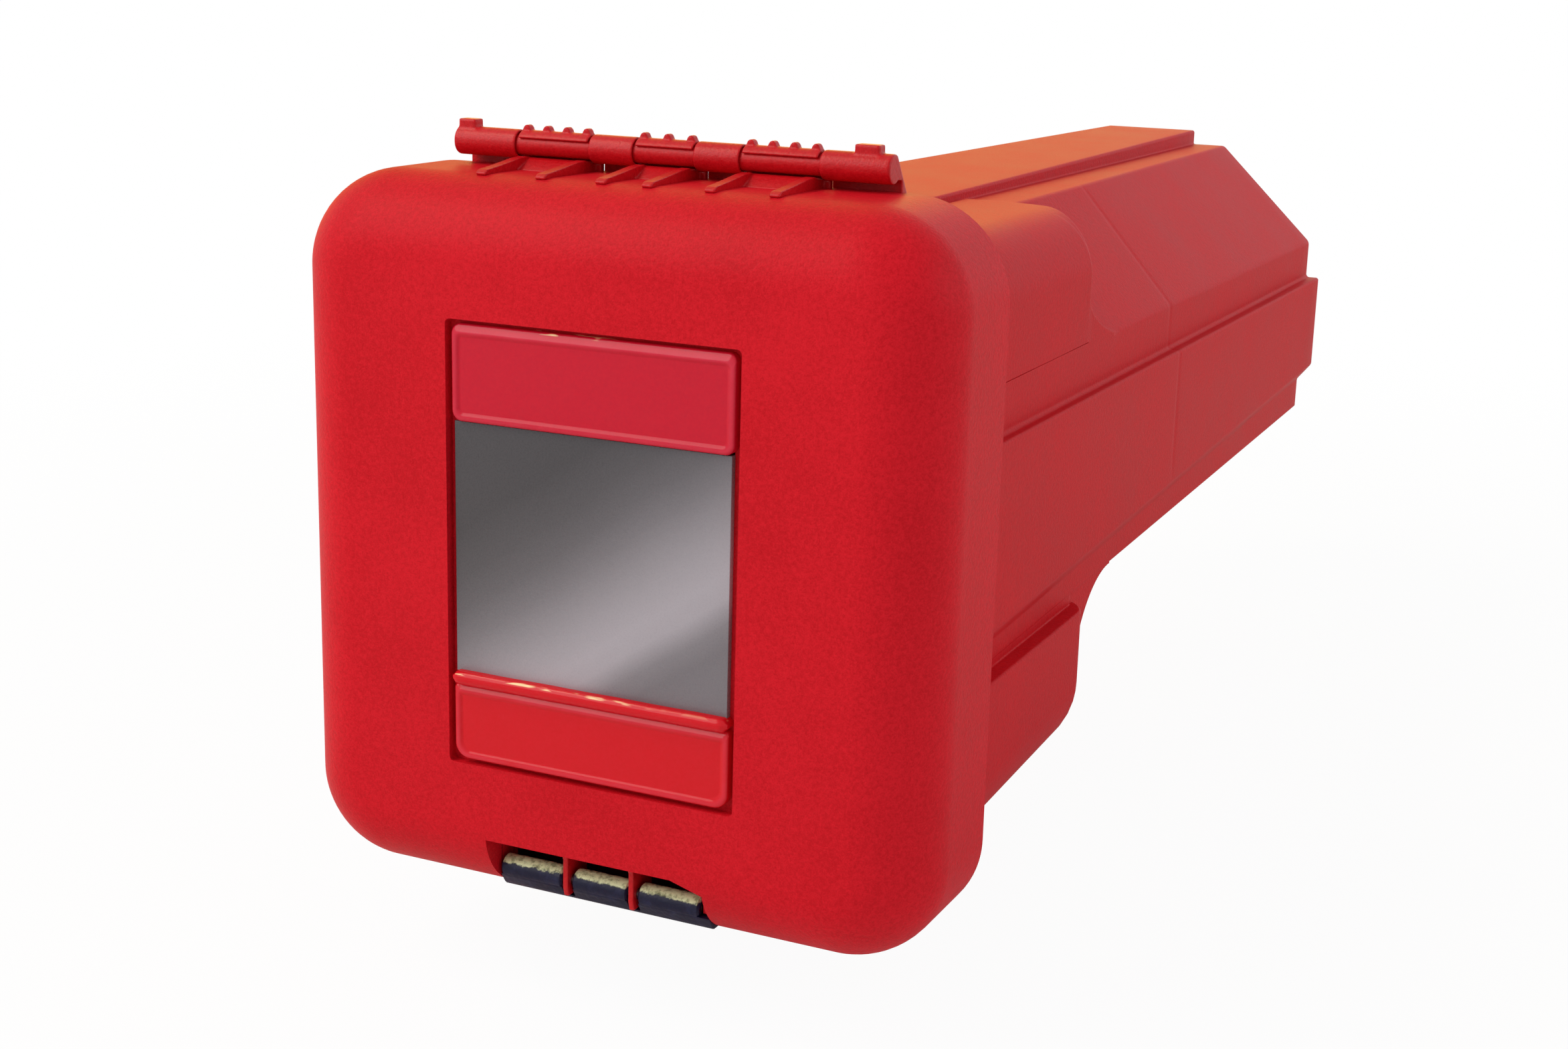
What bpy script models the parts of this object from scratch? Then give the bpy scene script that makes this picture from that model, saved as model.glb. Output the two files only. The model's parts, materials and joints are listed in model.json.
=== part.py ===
"""Front-loading fire extinguisher box: a tapered moulded body behind a lid hinged at its top.

The design frame has X to the right, Y towards the back and Z up, with the lid's front
face on Y = 0 and the label recess centred on X = Z = 0. The datum empty moves that frame
so that the world origin lies on the flat top strip, where the box is bolted up.
"""

import math

import bmesh
import bpy
from mathutils import Vector

MM = 0.001
FIT = 0.3 * MM

# Lid
LID_HALF_WIDTH = 135 * MM
LID_TOP = 137 * MM
LID_BOTTOM = -141.5 * MM
LID_DEPTH = 65 * MM
LID_CORNER = 38 * MM
LID_FILLET = 30 * MM
LID_WALL = 3 * MM
RECESS_HALF_WIDTH = 61 * MM
RECESS_HALF_HEIGHT = 86.25 * MM
RECESS_DEPTH = 4.5 * MM
RECESS_CORNER = 4 * MM
RECESS_LIP = 4 * MM
RECESS_WALL = 3 * MM
WINDOW_TOP = 48 * MM
WINDOW_BOTTOM = -49 * MM
PANEL_THICKNESS = 2 * MM
PAD_THICKNESS = 1.6 * MM
PAD_MARGIN = 1.5 * MM
PAD_CORNER = 2 * MM
ROLL_RADIUS = 2.2 * MM

# Hinge
HINGE_Y = 58.8 * MM
HINGE_Z = 145.7 * MM
BARREL_RADIUS = 5.5 * MM
ROD_RADIUS = 4.2 * MM
ROD_CLEARANCE = 0.35 * MM
KNUCKLE_SPANS = {
    "hinge_knuckle_outer_left": (-91.5 * MM, -63.8 * MM),
    "hinge_knuckle_inner_left": (-31.6 * MM, -12.9 * MM),
    "hinge_knuckle_inner_right": (12.9 * MM, 31.6 * MM),
    "hinge_knuckle_outer_right": (63.8 * MM, 91.5 * MM),
}
KNUCKLE_END_WALL = 3 * MM
KNUCKLE_ARC = (60, 310)
KNUCKLE_CHEEK = 1 * MM
STOP_LENGTH = 10.5 * MM
STOP_HEIGHT = 2.9 * MM
STOP_DEPTH = 6 * MM
STOP_INSET = 0.8 * MM
ARM_SPANS = {
    "lid_hinge_arm_left": (-63 * MM, -32.4 * MM),
    "lid_hinge_arm_centre": (-12.1 * MM, 12.1 * MM),
    "lid_hinge_arm_right": (32.4 * MM, 63 * MM),
}
CLIP_WALL = 1.0 * MM
CLIP_LIP_ANGLE = 12
CLIP_BACK_ANGLE = 215
WEB_FRONT = 61.2 * MM
GUSSET_TIP_Y = 24.3 * MM
GUSSET_SAG = 0.5 * MM
GUSSET_THICKNESS = 2.6 * MM
GUSSET_INSET = 0.4 * MM
GUSSET_ROOT = 1.5 * MM
TOOTH_HEIGHT = 1.8 * MM
TOOTH_LENGTH = 3.6 * MM
TOOTH_WIDTH = 3.2 * MM
TOOTH_SPACING = 9 * MM
ROOT = 0.8 * MM

# Latch in the lid's lower front edge
LATCH_Y = 14 * MM
LATCH_Z = -131 * MM
BEAD_RADIUS = 4.7 * MM
LATCH_PIN_RADIUS = 2 * MM
LATCH_PIN_CLEARANCE = 0.3 * MM
POCKET_HALF_WIDTH = 46 * MM
POCKET_TOP = -118.8 * MM
POCKET_BACK = 24 * MM
POCKET_WALL = 2.5 * MM
POCKET_CHAMFER_RUN = 11 * MM
POCKET_CHAMFER_DROP = 6 * MM
RIB_X = 14.4 * MM
RIB_THICKNESS = 3.5 * MM
RIB_GAP = 0.6 * MM
RIB_FLARE = 2.4 * MM
RIB_PROUD = 0.6 * MM
RIB_FOOT_DROP = 5.6 * MM
RIB_HOOK = 1 * MM
RIB_HEEL_DROP = 4.2 * MM
BEAD_END_GAP = 3 * MM
BEAD_OUTER_X = POCKET_HALF_WIDTH - BEAD_END_GAP
STRAP_THICKNESS = 3 * MM
STRAP_NOSE_INSET = 1 * MM
STRAP_NOSE_SLOPE = 3 * MM
STRAP_SLOT_REACH = 9 * MM
CHANNEL_CLEARANCE = 0.8 * MM
STRAP_HALF_WIDTH = POCKET_HALF_WIDTH - CHANNEL_CLEARANCE

# Body
BODY_BACK = 700 * MM
BODY_WALL = 4 * MM
STRIP_TOP = 118 * MM
FLANGE_DEPTH = 7 * MM
FLANGE_STEP = 3 * MM

# How far the body's outline stays inside the lid's side, and how much less it is at the back
SHOULDER_INSET = 65 * MM
SIDE_INSET = 22.8 * MM
RAIL_INSET = 17.6 * MM
LOWER_INSET = 25 * MM

# Right half of the body's outline at the lid, and what it loses by the back
MOUTH_SECTION = {
    "strip_x": 46 * MM,
    "shoulder_x": LID_HALF_WIDTH - SHOULDER_INSET,
    "shoulder_z": 115 * MM,
    "side_x": LID_HALF_WIDTH - SIDE_INSET,
    "chamfer_z": 58.6 * MM,
    "rail_x": LID_HALF_WIDTH - RAIL_INSET,
    "rail_top": 38.3 * MM,
    "rail_bottom": -40.2 * MM,
    "lower_x": LID_HALF_WIDTH - LOWER_INSET,
    "lower_z": -50 * MM,
    "bottom_z": -59 * MM,
}
TAPER = {
    "strip_x": 18.3 * MM,
    "shoulder_x": 23.1 * MM,
    "shoulder_z": 5.4 * MM,
    "side_x": 8.2 * MM,
    "chamfer_z": 3.8 * MM,
    "rail_x": 5.8 * MM,
    "rail_top": 5.1 * MM,
    "rail_bottom": -19.8 * MM,
    "lower_x": 6.4 * MM,
    "lower_z": -19.6 * MM,
    "bottom_z": -10.7 * MM,
}
BACK_SECTION = {key: size - TAPER[key] for key, size in MOUTH_SECTION.items()}
STRIP_EDGE_RADIUS = 1.6 * MM
STRIP_FOOT_RADIUS = 0.9 * MM
SHOULDER_RADIUS = 6 * MM
SIDE_RADIUS = 14 * MM
LEDGE_FOOT_RADIUS = 2 * MM
LEDGE_EDGE_RADIUS = 1.5 * MM
RAIL_FOOT_RADIUS = 4 * MM
LOWER_RADIUS = 3 * MM
BOTTOM_RADIUS = 6 * MM
CREASE_FROM_BACK = 323 * MM
CREASE_Y = BODY_BACK - CREASE_FROM_BACK
CREASE_RISE = 0.8 * MM

# Round box corners of the front part, which stand over the chamfers. Their back edge is drawn
# by distance down the chamfer and by Y, straight back at the top and swept back at its foot.
BULGE_TOP_RISE = 1.2 * MM
BULGE_SIDE_RISE = 0.3 * MM
BULGE_RADIUS = 28 * MM
BULGE_Y = CREASE_Y - 115 * MM
BULGE_SIDE_Y = BULGE_Y - 21 * MM
BULGE_FOOT_Y = BULGE_Y + 21 * MM
BULGE_UPPER_EDGE = [
    (0.0, BULGE_Y),
    (14 * MM, BULGE_Y),
    (14 * MM, BULGE_SIDE_Y + 4 * MM),
    (55 * MM, BULGE_SIDE_Y),
]
BULGE_LOWER_EDGE = [
    (55 * MM, BULGE_SIDE_Y),
    (60 * MM, BULGE_SIDE_Y),
    (67 * MM, BULGE_SIDE_Y + 11 * MM),
    (73.5 * MM, BULGE_FOOT_Y),
]
BULGE_MARGIN = 15 * MM

# Deep front part under the trunk
BLOCK_BACK = 252 * MM
BLOCK_TOP = -60.2 * MM
BLOCK_FRONT_BOTTOM = -137 * MM
BLOCK_BACK_BOTTOM = -129.4 * MM
BLOCK_CORNER = 36 * MM
BLOCK_BACK_RADIUS = 20 * MM
BLOCK_RISER = 10 * MM
WEB_RADIUS = 50 * MM
WEB_INSET = 1.5 * MM

BODY_FRONT = LID_DEPTH + FIT
SHELL_FRONT = BODY_FRONT + FLANGE_DEPTH + FIT
MOUNT_Y = (BODY_FRONT + BODY_BACK) / 2
FLANGE_TOP = LID_TOP - FLANGE_STEP
OVERCUT = 5 * MM


def clear_scene():
    for old in list(bpy.data.objects):
        bpy.data.objects.remove(old, do_unlink=True)


def make_material(name, colour, roughness, metallic=0.0, alpha=1.0):
    material = bpy.data.materials.new(name)
    material.use_nodes = True
    shader = material.node_tree.nodes["Principled BSDF"]
    shader.inputs["Base Color"].default_value = (*colour, 1.0)
    shader.inputs["Roughness"].default_value = roughness
    shader.inputs["Metallic"].default_value = metallic
    shader.inputs["Alpha"].default_value = alpha
    return material


def make_empty(name, location, parent=None):
    empty = bpy.data.objects.new(name, None)
    bpy.context.scene.collection.objects.link(empty)
    empty.parent = parent
    empty.location = location
    return empty


def make_object(name, mesh_builder, material, frame):
    """An object under the frame empty, whose mesh is given in the design frame."""
    empty, pivot = frame
    bmesh.ops.recalc_face_normals(mesh_builder, faces=mesh_builder.faces)
    bmesh.ops.translate(mesh_builder, verts=mesh_builder.verts, vec=[-c for c in pivot])
    mesh = bpy.data.meshes.new(name)
    mesh_builder.to_mesh(mesh)
    mesh_builder.free()
    mesh.shade_smooth()
    mesh.set_sharp_from_angle(angle=math.radians(35))
    mesh.materials.append(material)
    obj = bpy.data.objects.new(name, mesh)
    bpy.context.scene.collection.objects.link(obj)
    obj.parent = empty
    return obj


def make_helper(name, mesh_builder, frame):
    """A cutter, or a shape to be joined, that isn't a piece of its own."""
    helper = make_object(name, mesh_builder, HELPER, frame)
    helper.hide_render = True
    helper.display_type = "WIRE"
    return helper


def combine(obj, helper, operation):
    modifier = obj.modifiers.new(f"{operation.title()} {helper.name}", "BOOLEAN")
    modifier.operation = operation
    modifier.object = helper
    modifier.solver = "EXACT"


def add_loft(builder, rings):
    """Skin between closed rings of equal length, with both ends capped."""
    loops = [[builder.verts.new(point) for point in ring] for ring in rings]
    count = len(loops[0])
    for lower, upper in zip(loops, loops[1:]):
        for i in range(count):
            j = (i + 1) % count
            builder.faces.new((lower[i], lower[j], upper[j], upper[i]))
    builder.faces.new(loops[0])
    builder.faces.new(loops[-1])


def loft(rings):
    builder = bmesh.new()
    add_loft(builder, rings)
    return builder


def box(x_range, y_range, z_range):
    corners = [(x, z) for x, z in (
        (x_range[0], z_range[0]),
        (x_range[1], z_range[0]),
        (x_range[1], z_range[1]),
        (x_range[0], z_range[1]),
    )]
    return loft([[(x, y, z) for x, z in corners] for y in y_range])


def prism_x(profile, x_range):
    """A Y-Z profile pushed along X."""
    return loft([[(x, y, z) for y, z in profile] for x in x_range])


def prism_y(profile, y_range):
    """An X-Z profile pushed along Y."""
    return loft([[(x, y, z) for x, z in profile] for y in y_range])


def arc(centre, radius, start, end, steps):
    """Points of a circle arc, with angles in degrees."""
    angles = [math.radians(start + (end - start) * i / steps) for i in range(steps + 1)]
    return [(centre[0] + radius * math.cos(a), centre[1] + radius * math.sin(a)) for a in angles]


def rounded_rectangle(half_width, low, high, radius, steps):
    """X-Z outline, symmetric about X = 0."""
    right = half_width - radius
    return (
        arc((right, high - radius), radius, 90, 0, steps)
        + arc((right, low + radius), radius, 0, -90, steps)
        + arc((-right, low + radius), radius, -90, -180, steps)
        + arc((-right, high - radius), radius, 180, 90, steps)
    )


def rounded_polygon(corners, steps=3):
    """X-Z outline from (x, z, radius) corners, each rounded by an arc."""
    points = []
    for i, (x, z, radius) in enumerate(corners):
        here = Vector((x, z))
        before = (Vector(corners[i - 1][:2]) - here).normalized()
        after = (Vector(corners[(i + 1) % len(corners)][:2]) - here).normalized()
        if radius == 0.0:
            points.append(tuple(here))
            continue
        half_angle = before.angle(after) / 2
        centre = here + (before + after).normalized() * radius / math.sin(half_angle)
        start = here + before * radius / math.tan(half_angle) - centre
        end = here + after * radius / math.tan(half_angle) - centre
        for step in range(steps + 1):
            arm = start.lerp(end, step / steps).normalized() * radius
            points.append(tuple(centre + arm))
    return points


def mirrored(half):
    """Closed corner list from the right half, which runs from the top to the bottom."""
    return half + [(-x, z, radius) for x, z, radius in reversed(half)]


def ring_at(y, outline):
    return [(x, y, z) for x, z in outline]


def bezier(controls, steps):
    points = []
    for i in range(steps + 1):
        u = i / steps
        weights = ((1 - u) ** 3, 3 * u * (1 - u) ** 2, 3 * u**2 * (1 - u), u**3)
        points.append(tuple(sum(w * p[axis] for w, p in zip(weights, controls)) for axis in (0, 1)))
    return points


def cylinder_x(x_range, centre, radius, sides):
    profile = arc(centre, radius, 0, 360 * (sides - 1) / sides, sides - 1)
    return prism_x(profile, x_range)


def mix(first, second, share):
    return first + (second - first) * share


def lid_ring(y, inset, corner_steps=6):
    """The lid's outline at depth y, drawn in by the front fillet."""
    rise = max(LID_FILLET - y, 0.0)
    drawn = LID_FILLET - math.sqrt(max(LID_FILLET**2 - rise**2, 0.0))
    outline = rounded_rectangle(
        LID_HALF_WIDTH - drawn - inset,
        LID_BOTTOM + drawn + inset,
        LID_TOP - drawn - inset,
        LID_CORNER - drawn - inset,
        corner_steps,
    )
    return ring_at(y, outline)


def build_lid_shell(frame):
    fillet_angles = [0, 15, 30, 45, 60, 75, 90]
    depths = [LID_FILLET * (1 - math.cos(math.radians(a))) for a in fillet_angles]
    rings = [lid_ring(y, 0.0) for y in depths + [LID_DEPTH]]
    lid = make_object("lid_shell", loft(rings), RED, frame)

    inner_depths = [max(y, LID_WALL) for y in depths[1:]] + [LID_DEPTH + OVERCUT]
    inner_rings = [lid_ring(y, LID_WALL) for y in inner_depths]
    cavity = make_helper("lid_cavity", loft(inner_rings), frame)
    collar = box(
        (-RECESS_HALF_WIDTH - RECESS_WALL, RECESS_HALF_WIDTH + RECESS_WALL),
        (-LID_WALL, RECESS_DEPTH + RECESS_WALL),
        (-RECESS_HALF_HEIGHT - RECESS_WALL, RECESS_HALF_HEIGHT + RECESS_WALL),
    )
    combine(cavity, make_helper("recess_collar", collar, frame), "DIFFERENCE")
    housing = box(
        (-POCKET_HALF_WIDTH - POCKET_WALL, POCKET_HALF_WIDTH + POCKET_WALL),
        (-LID_WALL, POCKET_BACK + POCKET_WALL),
        (LID_BOTTOM - LID_WALL, POCKET_TOP + POCKET_WALL),
    )
    combine(cavity, make_helper("pocket_housing", housing, frame), "DIFFERENCE")
    channel_top = LATCH_Z - BEAD_RADIUS + CHANNEL_CLEARANCE
    channel_housing = box(
        (-POCKET_HALF_WIDTH - POCKET_WALL, POCKET_HALF_WIDTH + POCKET_WALL),
        (POCKET_BACK - POCKET_WALL, LID_DEPTH + 2 * OVERCUT),
        (LID_BOTTOM - LID_WALL, channel_top + POCKET_WALL),
    )
    combine(cavity, make_helper("channel_housing", channel_housing, frame), "DIFFERENCE")
    combine(lid, cavity, "DIFFERENCE")

    recess = prism_y(
        rounded_rectangle(
            RECESS_HALF_WIDTH, -RECESS_HALF_HEIGHT, RECESS_HALF_HEIGHT, RECESS_CORNER, 3
        ),
        (-OVERCUT, RECESS_DEPTH),
    )
    combine(lid, make_helper("recess_cut", recess, frame), "DIFFERENCE")
    opening = box(
        (-RECESS_HALF_WIDTH + RECESS_LIP, RECESS_HALF_WIDTH - RECESS_LIP),
        (0.0, LID_FILLET),
        (-RECESS_HALF_HEIGHT + RECESS_LIP, RECESS_HALF_HEIGHT - RECESS_LIP),
    )
    combine(lid, make_helper("window_cut", opening, frame), "DIFFERENCE")

    below = LID_BOTTOM - OVERCUT
    pocket = prism_y(
        [
            (-POCKET_HALF_WIDTH, below),
            (POCKET_HALF_WIDTH, below),
            (POCKET_HALF_WIDTH, POCKET_TOP - POCKET_CHAMFER_DROP),
            (POCKET_HALF_WIDTH - POCKET_CHAMFER_RUN, POCKET_TOP),
            (-POCKET_HALF_WIDTH, POCKET_TOP),
        ],
        (-OVERCUT, POCKET_BACK),
    )
    combine(lid, make_helper("pocket_cut", pocket, frame), "DIFFERENCE")
    channel = box(
        (-POCKET_HALF_WIDTH, POCKET_HALF_WIDTH),
        (POCKET_BACK - FIT, LID_DEPTH + 3 * OVERCUT),
        (below, channel_top),
    )
    combine(lid, make_helper("channel_cut", channel, frame), "DIFFERENCE")
    return lid


def build_recess_insert(frame):
    front = RECESS_DEPTH - FIT - PANEL_THICKNESS
    panel = prism_y(
        rounded_rectangle(
            RECESS_HALF_WIDTH - FIT,
            -RECESS_HALF_HEIGHT + FIT,
            RECESS_HALF_HEIGHT - FIT,
            RECESS_CORNER - FIT,
            3,
        ),
        (front, front + PANEL_THICKNESS),
    )
    make_object("window_panel", panel, SMOKED, frame)
    pad_half_width = RECESS_HALF_WIDTH - PAD_MARGIN
    pad_back = front - FIT
    pads = {
        "label_pad_upper": (WINDOW_TOP, RECESS_HALF_HEIGHT - PAD_MARGIN),
        "label_pad_lower": (-RECESS_HALF_HEIGHT + PAD_MARGIN, WINDOW_BOTTOM - 2 * ROLL_RADIUS - FIT),
    }
    for name, (low, high) in pads.items():
        middle = (low + high) / 2
        half = (high - low) / 2
        outline = [(x, z + middle) for x, z in rounded_rectangle(pad_half_width, -half, half, PAD_CORNER, 2)]
        make_object(name, prism_y(outline, (pad_back - PAD_THICKNESS, pad_back)), GLOSSY, frame)
    roll_centre = (pad_back - ROLL_RADIUS, WINDOW_BOTTOM - ROLL_RADIUS)
    roll = cylinder_x((-pad_half_width, pad_half_width), roll_centre, ROLL_RADIUS, 12)
    make_object("label_roll", roll, GLOSSY, frame)


def knuckle_profile():
    """Barrel round the hinge axis with a foot that stands on the body's flange."""
    foot_low = FLANGE_TOP + FIT
    barrel = arc((HINGE_Y, HINGE_Z), BARREL_RADIUS, *KNUCKLE_ARC, 14)
    foot = [
        (BODY_FRONT + FIT, HINGE_Z - BARREL_RADIUS + KNUCKLE_CHEEK),
        (BODY_FRONT + FIT, foot_low),
        (BODY_FRONT + FLANGE_DEPTH, foot_low),
        (BODY_FRONT + FLANGE_DEPTH, foot_low + KNUCKLE_CHEEK),
    ]
    return barrel + foot


def build_hinge(base, lid_frame):
    for name, (low, high) in KNUCKLE_SPANS.items():
        knuckle = make_object(name, prism_x(knuckle_profile(), (low, high)), RED, base)
        outer = "outer" in name
        sign = 1 if high > 0 else -1
        bore = [low - OVERCUT, high + OVERCUT]
        if outer:
            end = high if sign > 0 else low
            bore[1 if sign > 0 else 0] = end - sign * KNUCKLE_END_WALL
        bore_cut = cylinder_x(bore, (HINGE_Y, HINGE_Z), ROD_RADIUS + ROD_CLEARANCE, 16)
        combine(knuckle, make_helper(f"{name}_bore", bore_cut, base), "DIFFERENCE")
        if outer:
            near = sorted((end - sign * STOP_INSET, end - sign * (STOP_INSET + STOP_LENGTH)))
            stop_base = HINGE_Z + BARREL_RADIUS - ROOT
            stop_top = HINGE_Z + BARREL_RADIUS + STOP_HEIGHT
            y_low = HINGE_Y - STOP_DEPTH / 2
            y_high = HINGE_Y + STOP_DEPTH / 2
            stop = loft([
                [(near[0], y_low, stop_base), (near[1], y_low, stop_base),
                 (near[1], y_high, stop_base), (near[0], y_high, stop_base)],
                [(near[0] + ROOT, y_low + ROOT, stop_top), (near[1] - ROOT, y_low + ROOT, stop_top),
                 (near[1] - ROOT, y_high - ROOT, stop_top), (near[0] + ROOT, y_high - ROOT, stop_top)],
            ])
            combine(knuckle, make_helper(f"{name}_stop", stop, base), "UNION")
    rod_end = KNUCKLE_SPANS["hinge_knuckle_outer_right"][1] - KNUCKLE_END_WALL - FIT
    rod = cylinder_x((-rod_end, rod_end), (HINGE_Y, HINGE_Z), ROD_RADIUS, 16)
    make_object("hinge_rod", rod, RED, base)
    for name, (low, high) in ARM_SPANS.items():
        build_hinge_arm(name, low, high, lid_frame)


def arm_profile():
    """Hook over the rod, open at the front, with a web that stands on the lid's top."""
    axis = (HINGE_Y, HINGE_Z)
    outer = arc(axis, BARREL_RADIUS, 180 - CLIP_LIP_ANGLE, 180 - CLIP_BACK_ANGLE, 14)
    inner = arc(axis, BARREL_RADIUS - CLIP_WALL, 180 - CLIP_BACK_ANGLE, 180 - CLIP_LIP_ANGLE, 14)
    web_low = LID_TOP + FIT
    web_back = outer[-1][0]
    web_front = inner[0][0]
    return outer + [(web_back, web_low), (WEB_FRONT, web_low), (web_front, inner[0][1])] + inner


def gusset_profile():
    """Thin blade from the lid's top up to the web, with a slightly hollow upper edge."""
    web_low = LID_TOP + FIT
    top = HINGE_Z - BARREL_RADIUS - FIT
    back = WEB_FRONT + GUSSET_ROOT
    edge = []
    for i in range(6):
        share = i / 5
        sag = GUSSET_SAG * math.sin(math.pi * share)
        edge.append((mix(back, GUSSET_TIP_Y, share), mix(top, web_low + FIT, share) - sag))
    return [(GUSSET_TIP_Y, web_low), (back, web_low)] + edge


def build_hinge_arm(name, low, high, frame):
    arm = make_object(name, prism_x(arm_profile(), (low, high)), RED, frame)
    for side, start in (("left", low + GUSSET_INSET), ("right", high - GUSSET_INSET - GUSSET_THICKNESS)):
        gusset = prism_x(gusset_profile(), (start, start + GUSSET_THICKNESS))
        combine(arm, make_helper(f"{name}_gusset_{side}", gusset, frame), "UNION")
    gaps = round((high - low - TOOTH_LENGTH) / TOOTH_SPACING)
    spacing = (high - low - TOOTH_LENGTH - 2 * GUSSET_INSET) / gaps
    crest = HINGE_Z + BARREL_RADIUS
    for i in range(gaps + 1):
        middle = low + GUSSET_INSET + TOOTH_LENGTH / 2 + i * spacing
        bump = arc((middle, crest - ROOT), TOOTH_LENGTH / 2, 180, 0, 8)
        rise = (TOOTH_HEIGHT + ROOT) / (TOOTH_LENGTH / 2)
        outline = [(x, crest - ROOT + (z - crest + ROOT) * rise) for x, z in bump]
        tooth = prism_y(outline, (HINGE_Y - TOOTH_WIDTH / 2, HINGE_Y + TOOTH_WIDTH / 2))
        combine(arm, make_helper(f"{name}_tooth_{i + 1}", tooth, frame), "UNION")


def build_latch(lid_frame, latch_frame):
    axis = (LATCH_Y, LATCH_Z)
    gap = RIB_THICKNESS / 2 + RIB_GAP
    spans = {
        "latch_bead_left": (-BEAD_OUTER_X, -RIB_X - gap),
        "latch_bead_centre": (-RIB_X + gap, RIB_X - gap),
        "latch_bead_right": (RIB_X + gap, BEAD_OUTER_X),
    }
    for name, span in spans.items():
        bead = make_object(name, cylinder_x(span, axis, BEAD_RADIUS, 20), BLACK, latch_frame)
        bore = cylinder_x(
            (span[0] - OVERCUT, span[1] + OVERCUT), axis, LATCH_PIN_RADIUS + LATCH_PIN_CLEARANCE, 12
        )
        combine(bead, make_helper(f"{name}_bore", bore, latch_frame), "DIFFERENCE")
    strap_top = LATCH_Z - BEAD_RADIUS - FIT
    strap_front = LATCH_Y - BEAD_RADIUS + STRAP_NOSE_INSET
    strap = prism_x(
        [
            (strap_front, strap_top),
            (strap_front + STRAP_NOSE_SLOPE / 3, strap_top - STRAP_THICKNESS / 2),
            (strap_front + STRAP_NOSE_SLOPE, strap_top - STRAP_THICKNESS),
            (LID_DEPTH, strap_top - STRAP_THICKNESS),
            (LID_DEPTH, strap_top),
        ],
        (-STRAP_HALF_WIDTH, STRAP_HALF_WIDTH),
    )
    strap = make_object("latch_strap", strap, BLACK, latch_frame)
    pin = cylinder_x((-BEAD_OUTER_X, BEAD_OUTER_X), axis, LATCH_PIN_RADIUS, 12)
    make_object("latch_pin", pin, STEEL, lid_frame)
    foot = LATCH_Z - RIB_FOOT_DROP
    front = LATCH_Y - BEAD_RADIUS - RIB_PROUD
    rib_top = POCKET_TOP - FIT
    for side, centre in (("left", -RIB_X), ("right", RIB_X)):
        profile = [
            (front - RIB_FLARE, rib_top),
            (front, rib_top - 2 * RIB_FLARE),
            (front, LATCH_Z - 2 * RIB_HOOK),
            (front + RIB_HOOK, foot),
            (LATCH_Y, foot),
            (POCKET_BACK - FIT, LATCH_Z - RIB_HEEL_DROP),
            (POCKET_BACK - FIT, rib_top),
        ]
        span = (centre - RIB_THICKNESS / 2, centre + RIB_THICKNESS / 2)
        rib = make_object(f"latch_rib_{side}", prism_x(profile, span), RED, lid_frame)
        bore = cylinder_x(
            (span[0] - OVERCUT, span[1] + OVERCUT), axis, LATCH_PIN_RADIUS + LATCH_PIN_CLEARANCE, 12
        )
        combine(rib, make_helper(f"latch_rib_{side}_bore", bore, lid_frame), "DIFFERENCE")
        slot = box(
            (centre - gap, centre + gap),
            (strap_front - OVERCUT, LATCH_Y + STRAP_SLOT_REACH),
            (strap_top - STRAP_THICKNESS - OVERCUT, strap_top + OVERCUT),
        )
        combine(strap, make_helper(f"strap_slot_{side}", slot, latch_frame), "DIFFERENCE")


def section_at(y):
    share = (y - BODY_FRONT) / (BODY_BACK - BODY_FRONT)
    return {key: mix(MOUTH_SECTION[key], BACK_SECTION[key], share) for key in MOUTH_SECTION}


def trunk_outline(y, crease=0.0):
    """Tapered trunk with its top strip, shoulders, chamfers and side rails."""
    s = section_at(y)
    return rounded_polygon(mirrored([
        (s["strip_x"], STRIP_TOP, STRIP_EDGE_RADIUS),
        (s["strip_x"], s["shoulder_z"], STRIP_FOOT_RADIUS),
        (s["shoulder_x"] + crease, s["shoulder_z"], SHOULDER_RADIUS),
        (s["side_x"], s["chamfer_z"] + crease, SIDE_RADIUS),
        (s["side_x"], s["rail_top"], LEDGE_FOOT_RADIUS),
        (s["rail_x"], s["rail_top"], LEDGE_EDGE_RADIUS),
        (s["rail_x"], s["rail_bottom"], RAIL_FOOT_RADIUS),
        (s["lower_x"], s["lower_z"], LOWER_RADIUS),
        (s["lower_x"], s["bottom_z"], BOTTOM_RADIUS),
    ]))


def trunk_cavity_outline(y):
    """The trunk's inside, one wall in from its shoulders, chamfers and rails."""
    s = section_at(y)
    return rounded_polygon(mirrored([
        (s["shoulder_x"] - BODY_WALL / 2, s["shoulder_z"] - BODY_WALL, SHOULDER_RADIUS),
        (s["side_x"] - BODY_WALL, s["chamfer_z"] - BODY_WALL / 2, SIDE_RADIUS - BODY_WALL),
        (s["side_x"] - BODY_WALL, s["rail_top"] - BODY_WALL, 0.0),
        (s["rail_x"] - BODY_WALL, s["rail_top"] - BODY_WALL, 0.0),
        (s["rail_x"] - BODY_WALL, s["rail_bottom"] + BODY_WALL / 2, 0.0),
        (s["lower_x"] - BODY_WALL, s["lower_z"], 0.0),
        (s["lower_x"] - BODY_WALL, s["bottom_z"] + BODY_WALL, BOTTOM_RADIUS - BODY_WALL),
    ]), 2)


def bulge_outline(y, side, inset=0.0):
    """A round box corner, from inside the strip down to the side's upper edge."""
    s = section_at(y)
    top = s["shoulder_z"] + BULGE_TOP_RISE - inset
    outer = s["side_x"] + BULGE_SIDE_RISE - inset
    inner = s["strip_x"] - OVERCUT + 2 * inset
    low = s["chamfer_z"] - SIDE_RADIUS / 2 + 2 * inset
    drop = OVERCUT + inset
    corners = [
        (inner, top, 0.0),
        (outer, top, BULGE_RADIUS - inset),
        (outer, low, 0.0),
        (outer - drop, low, 0.0),
        (inner, top - drop, 0.0),
    ]
    return [(side * x, z) for x, z in rounded_polygon(corners, 8)]


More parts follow.
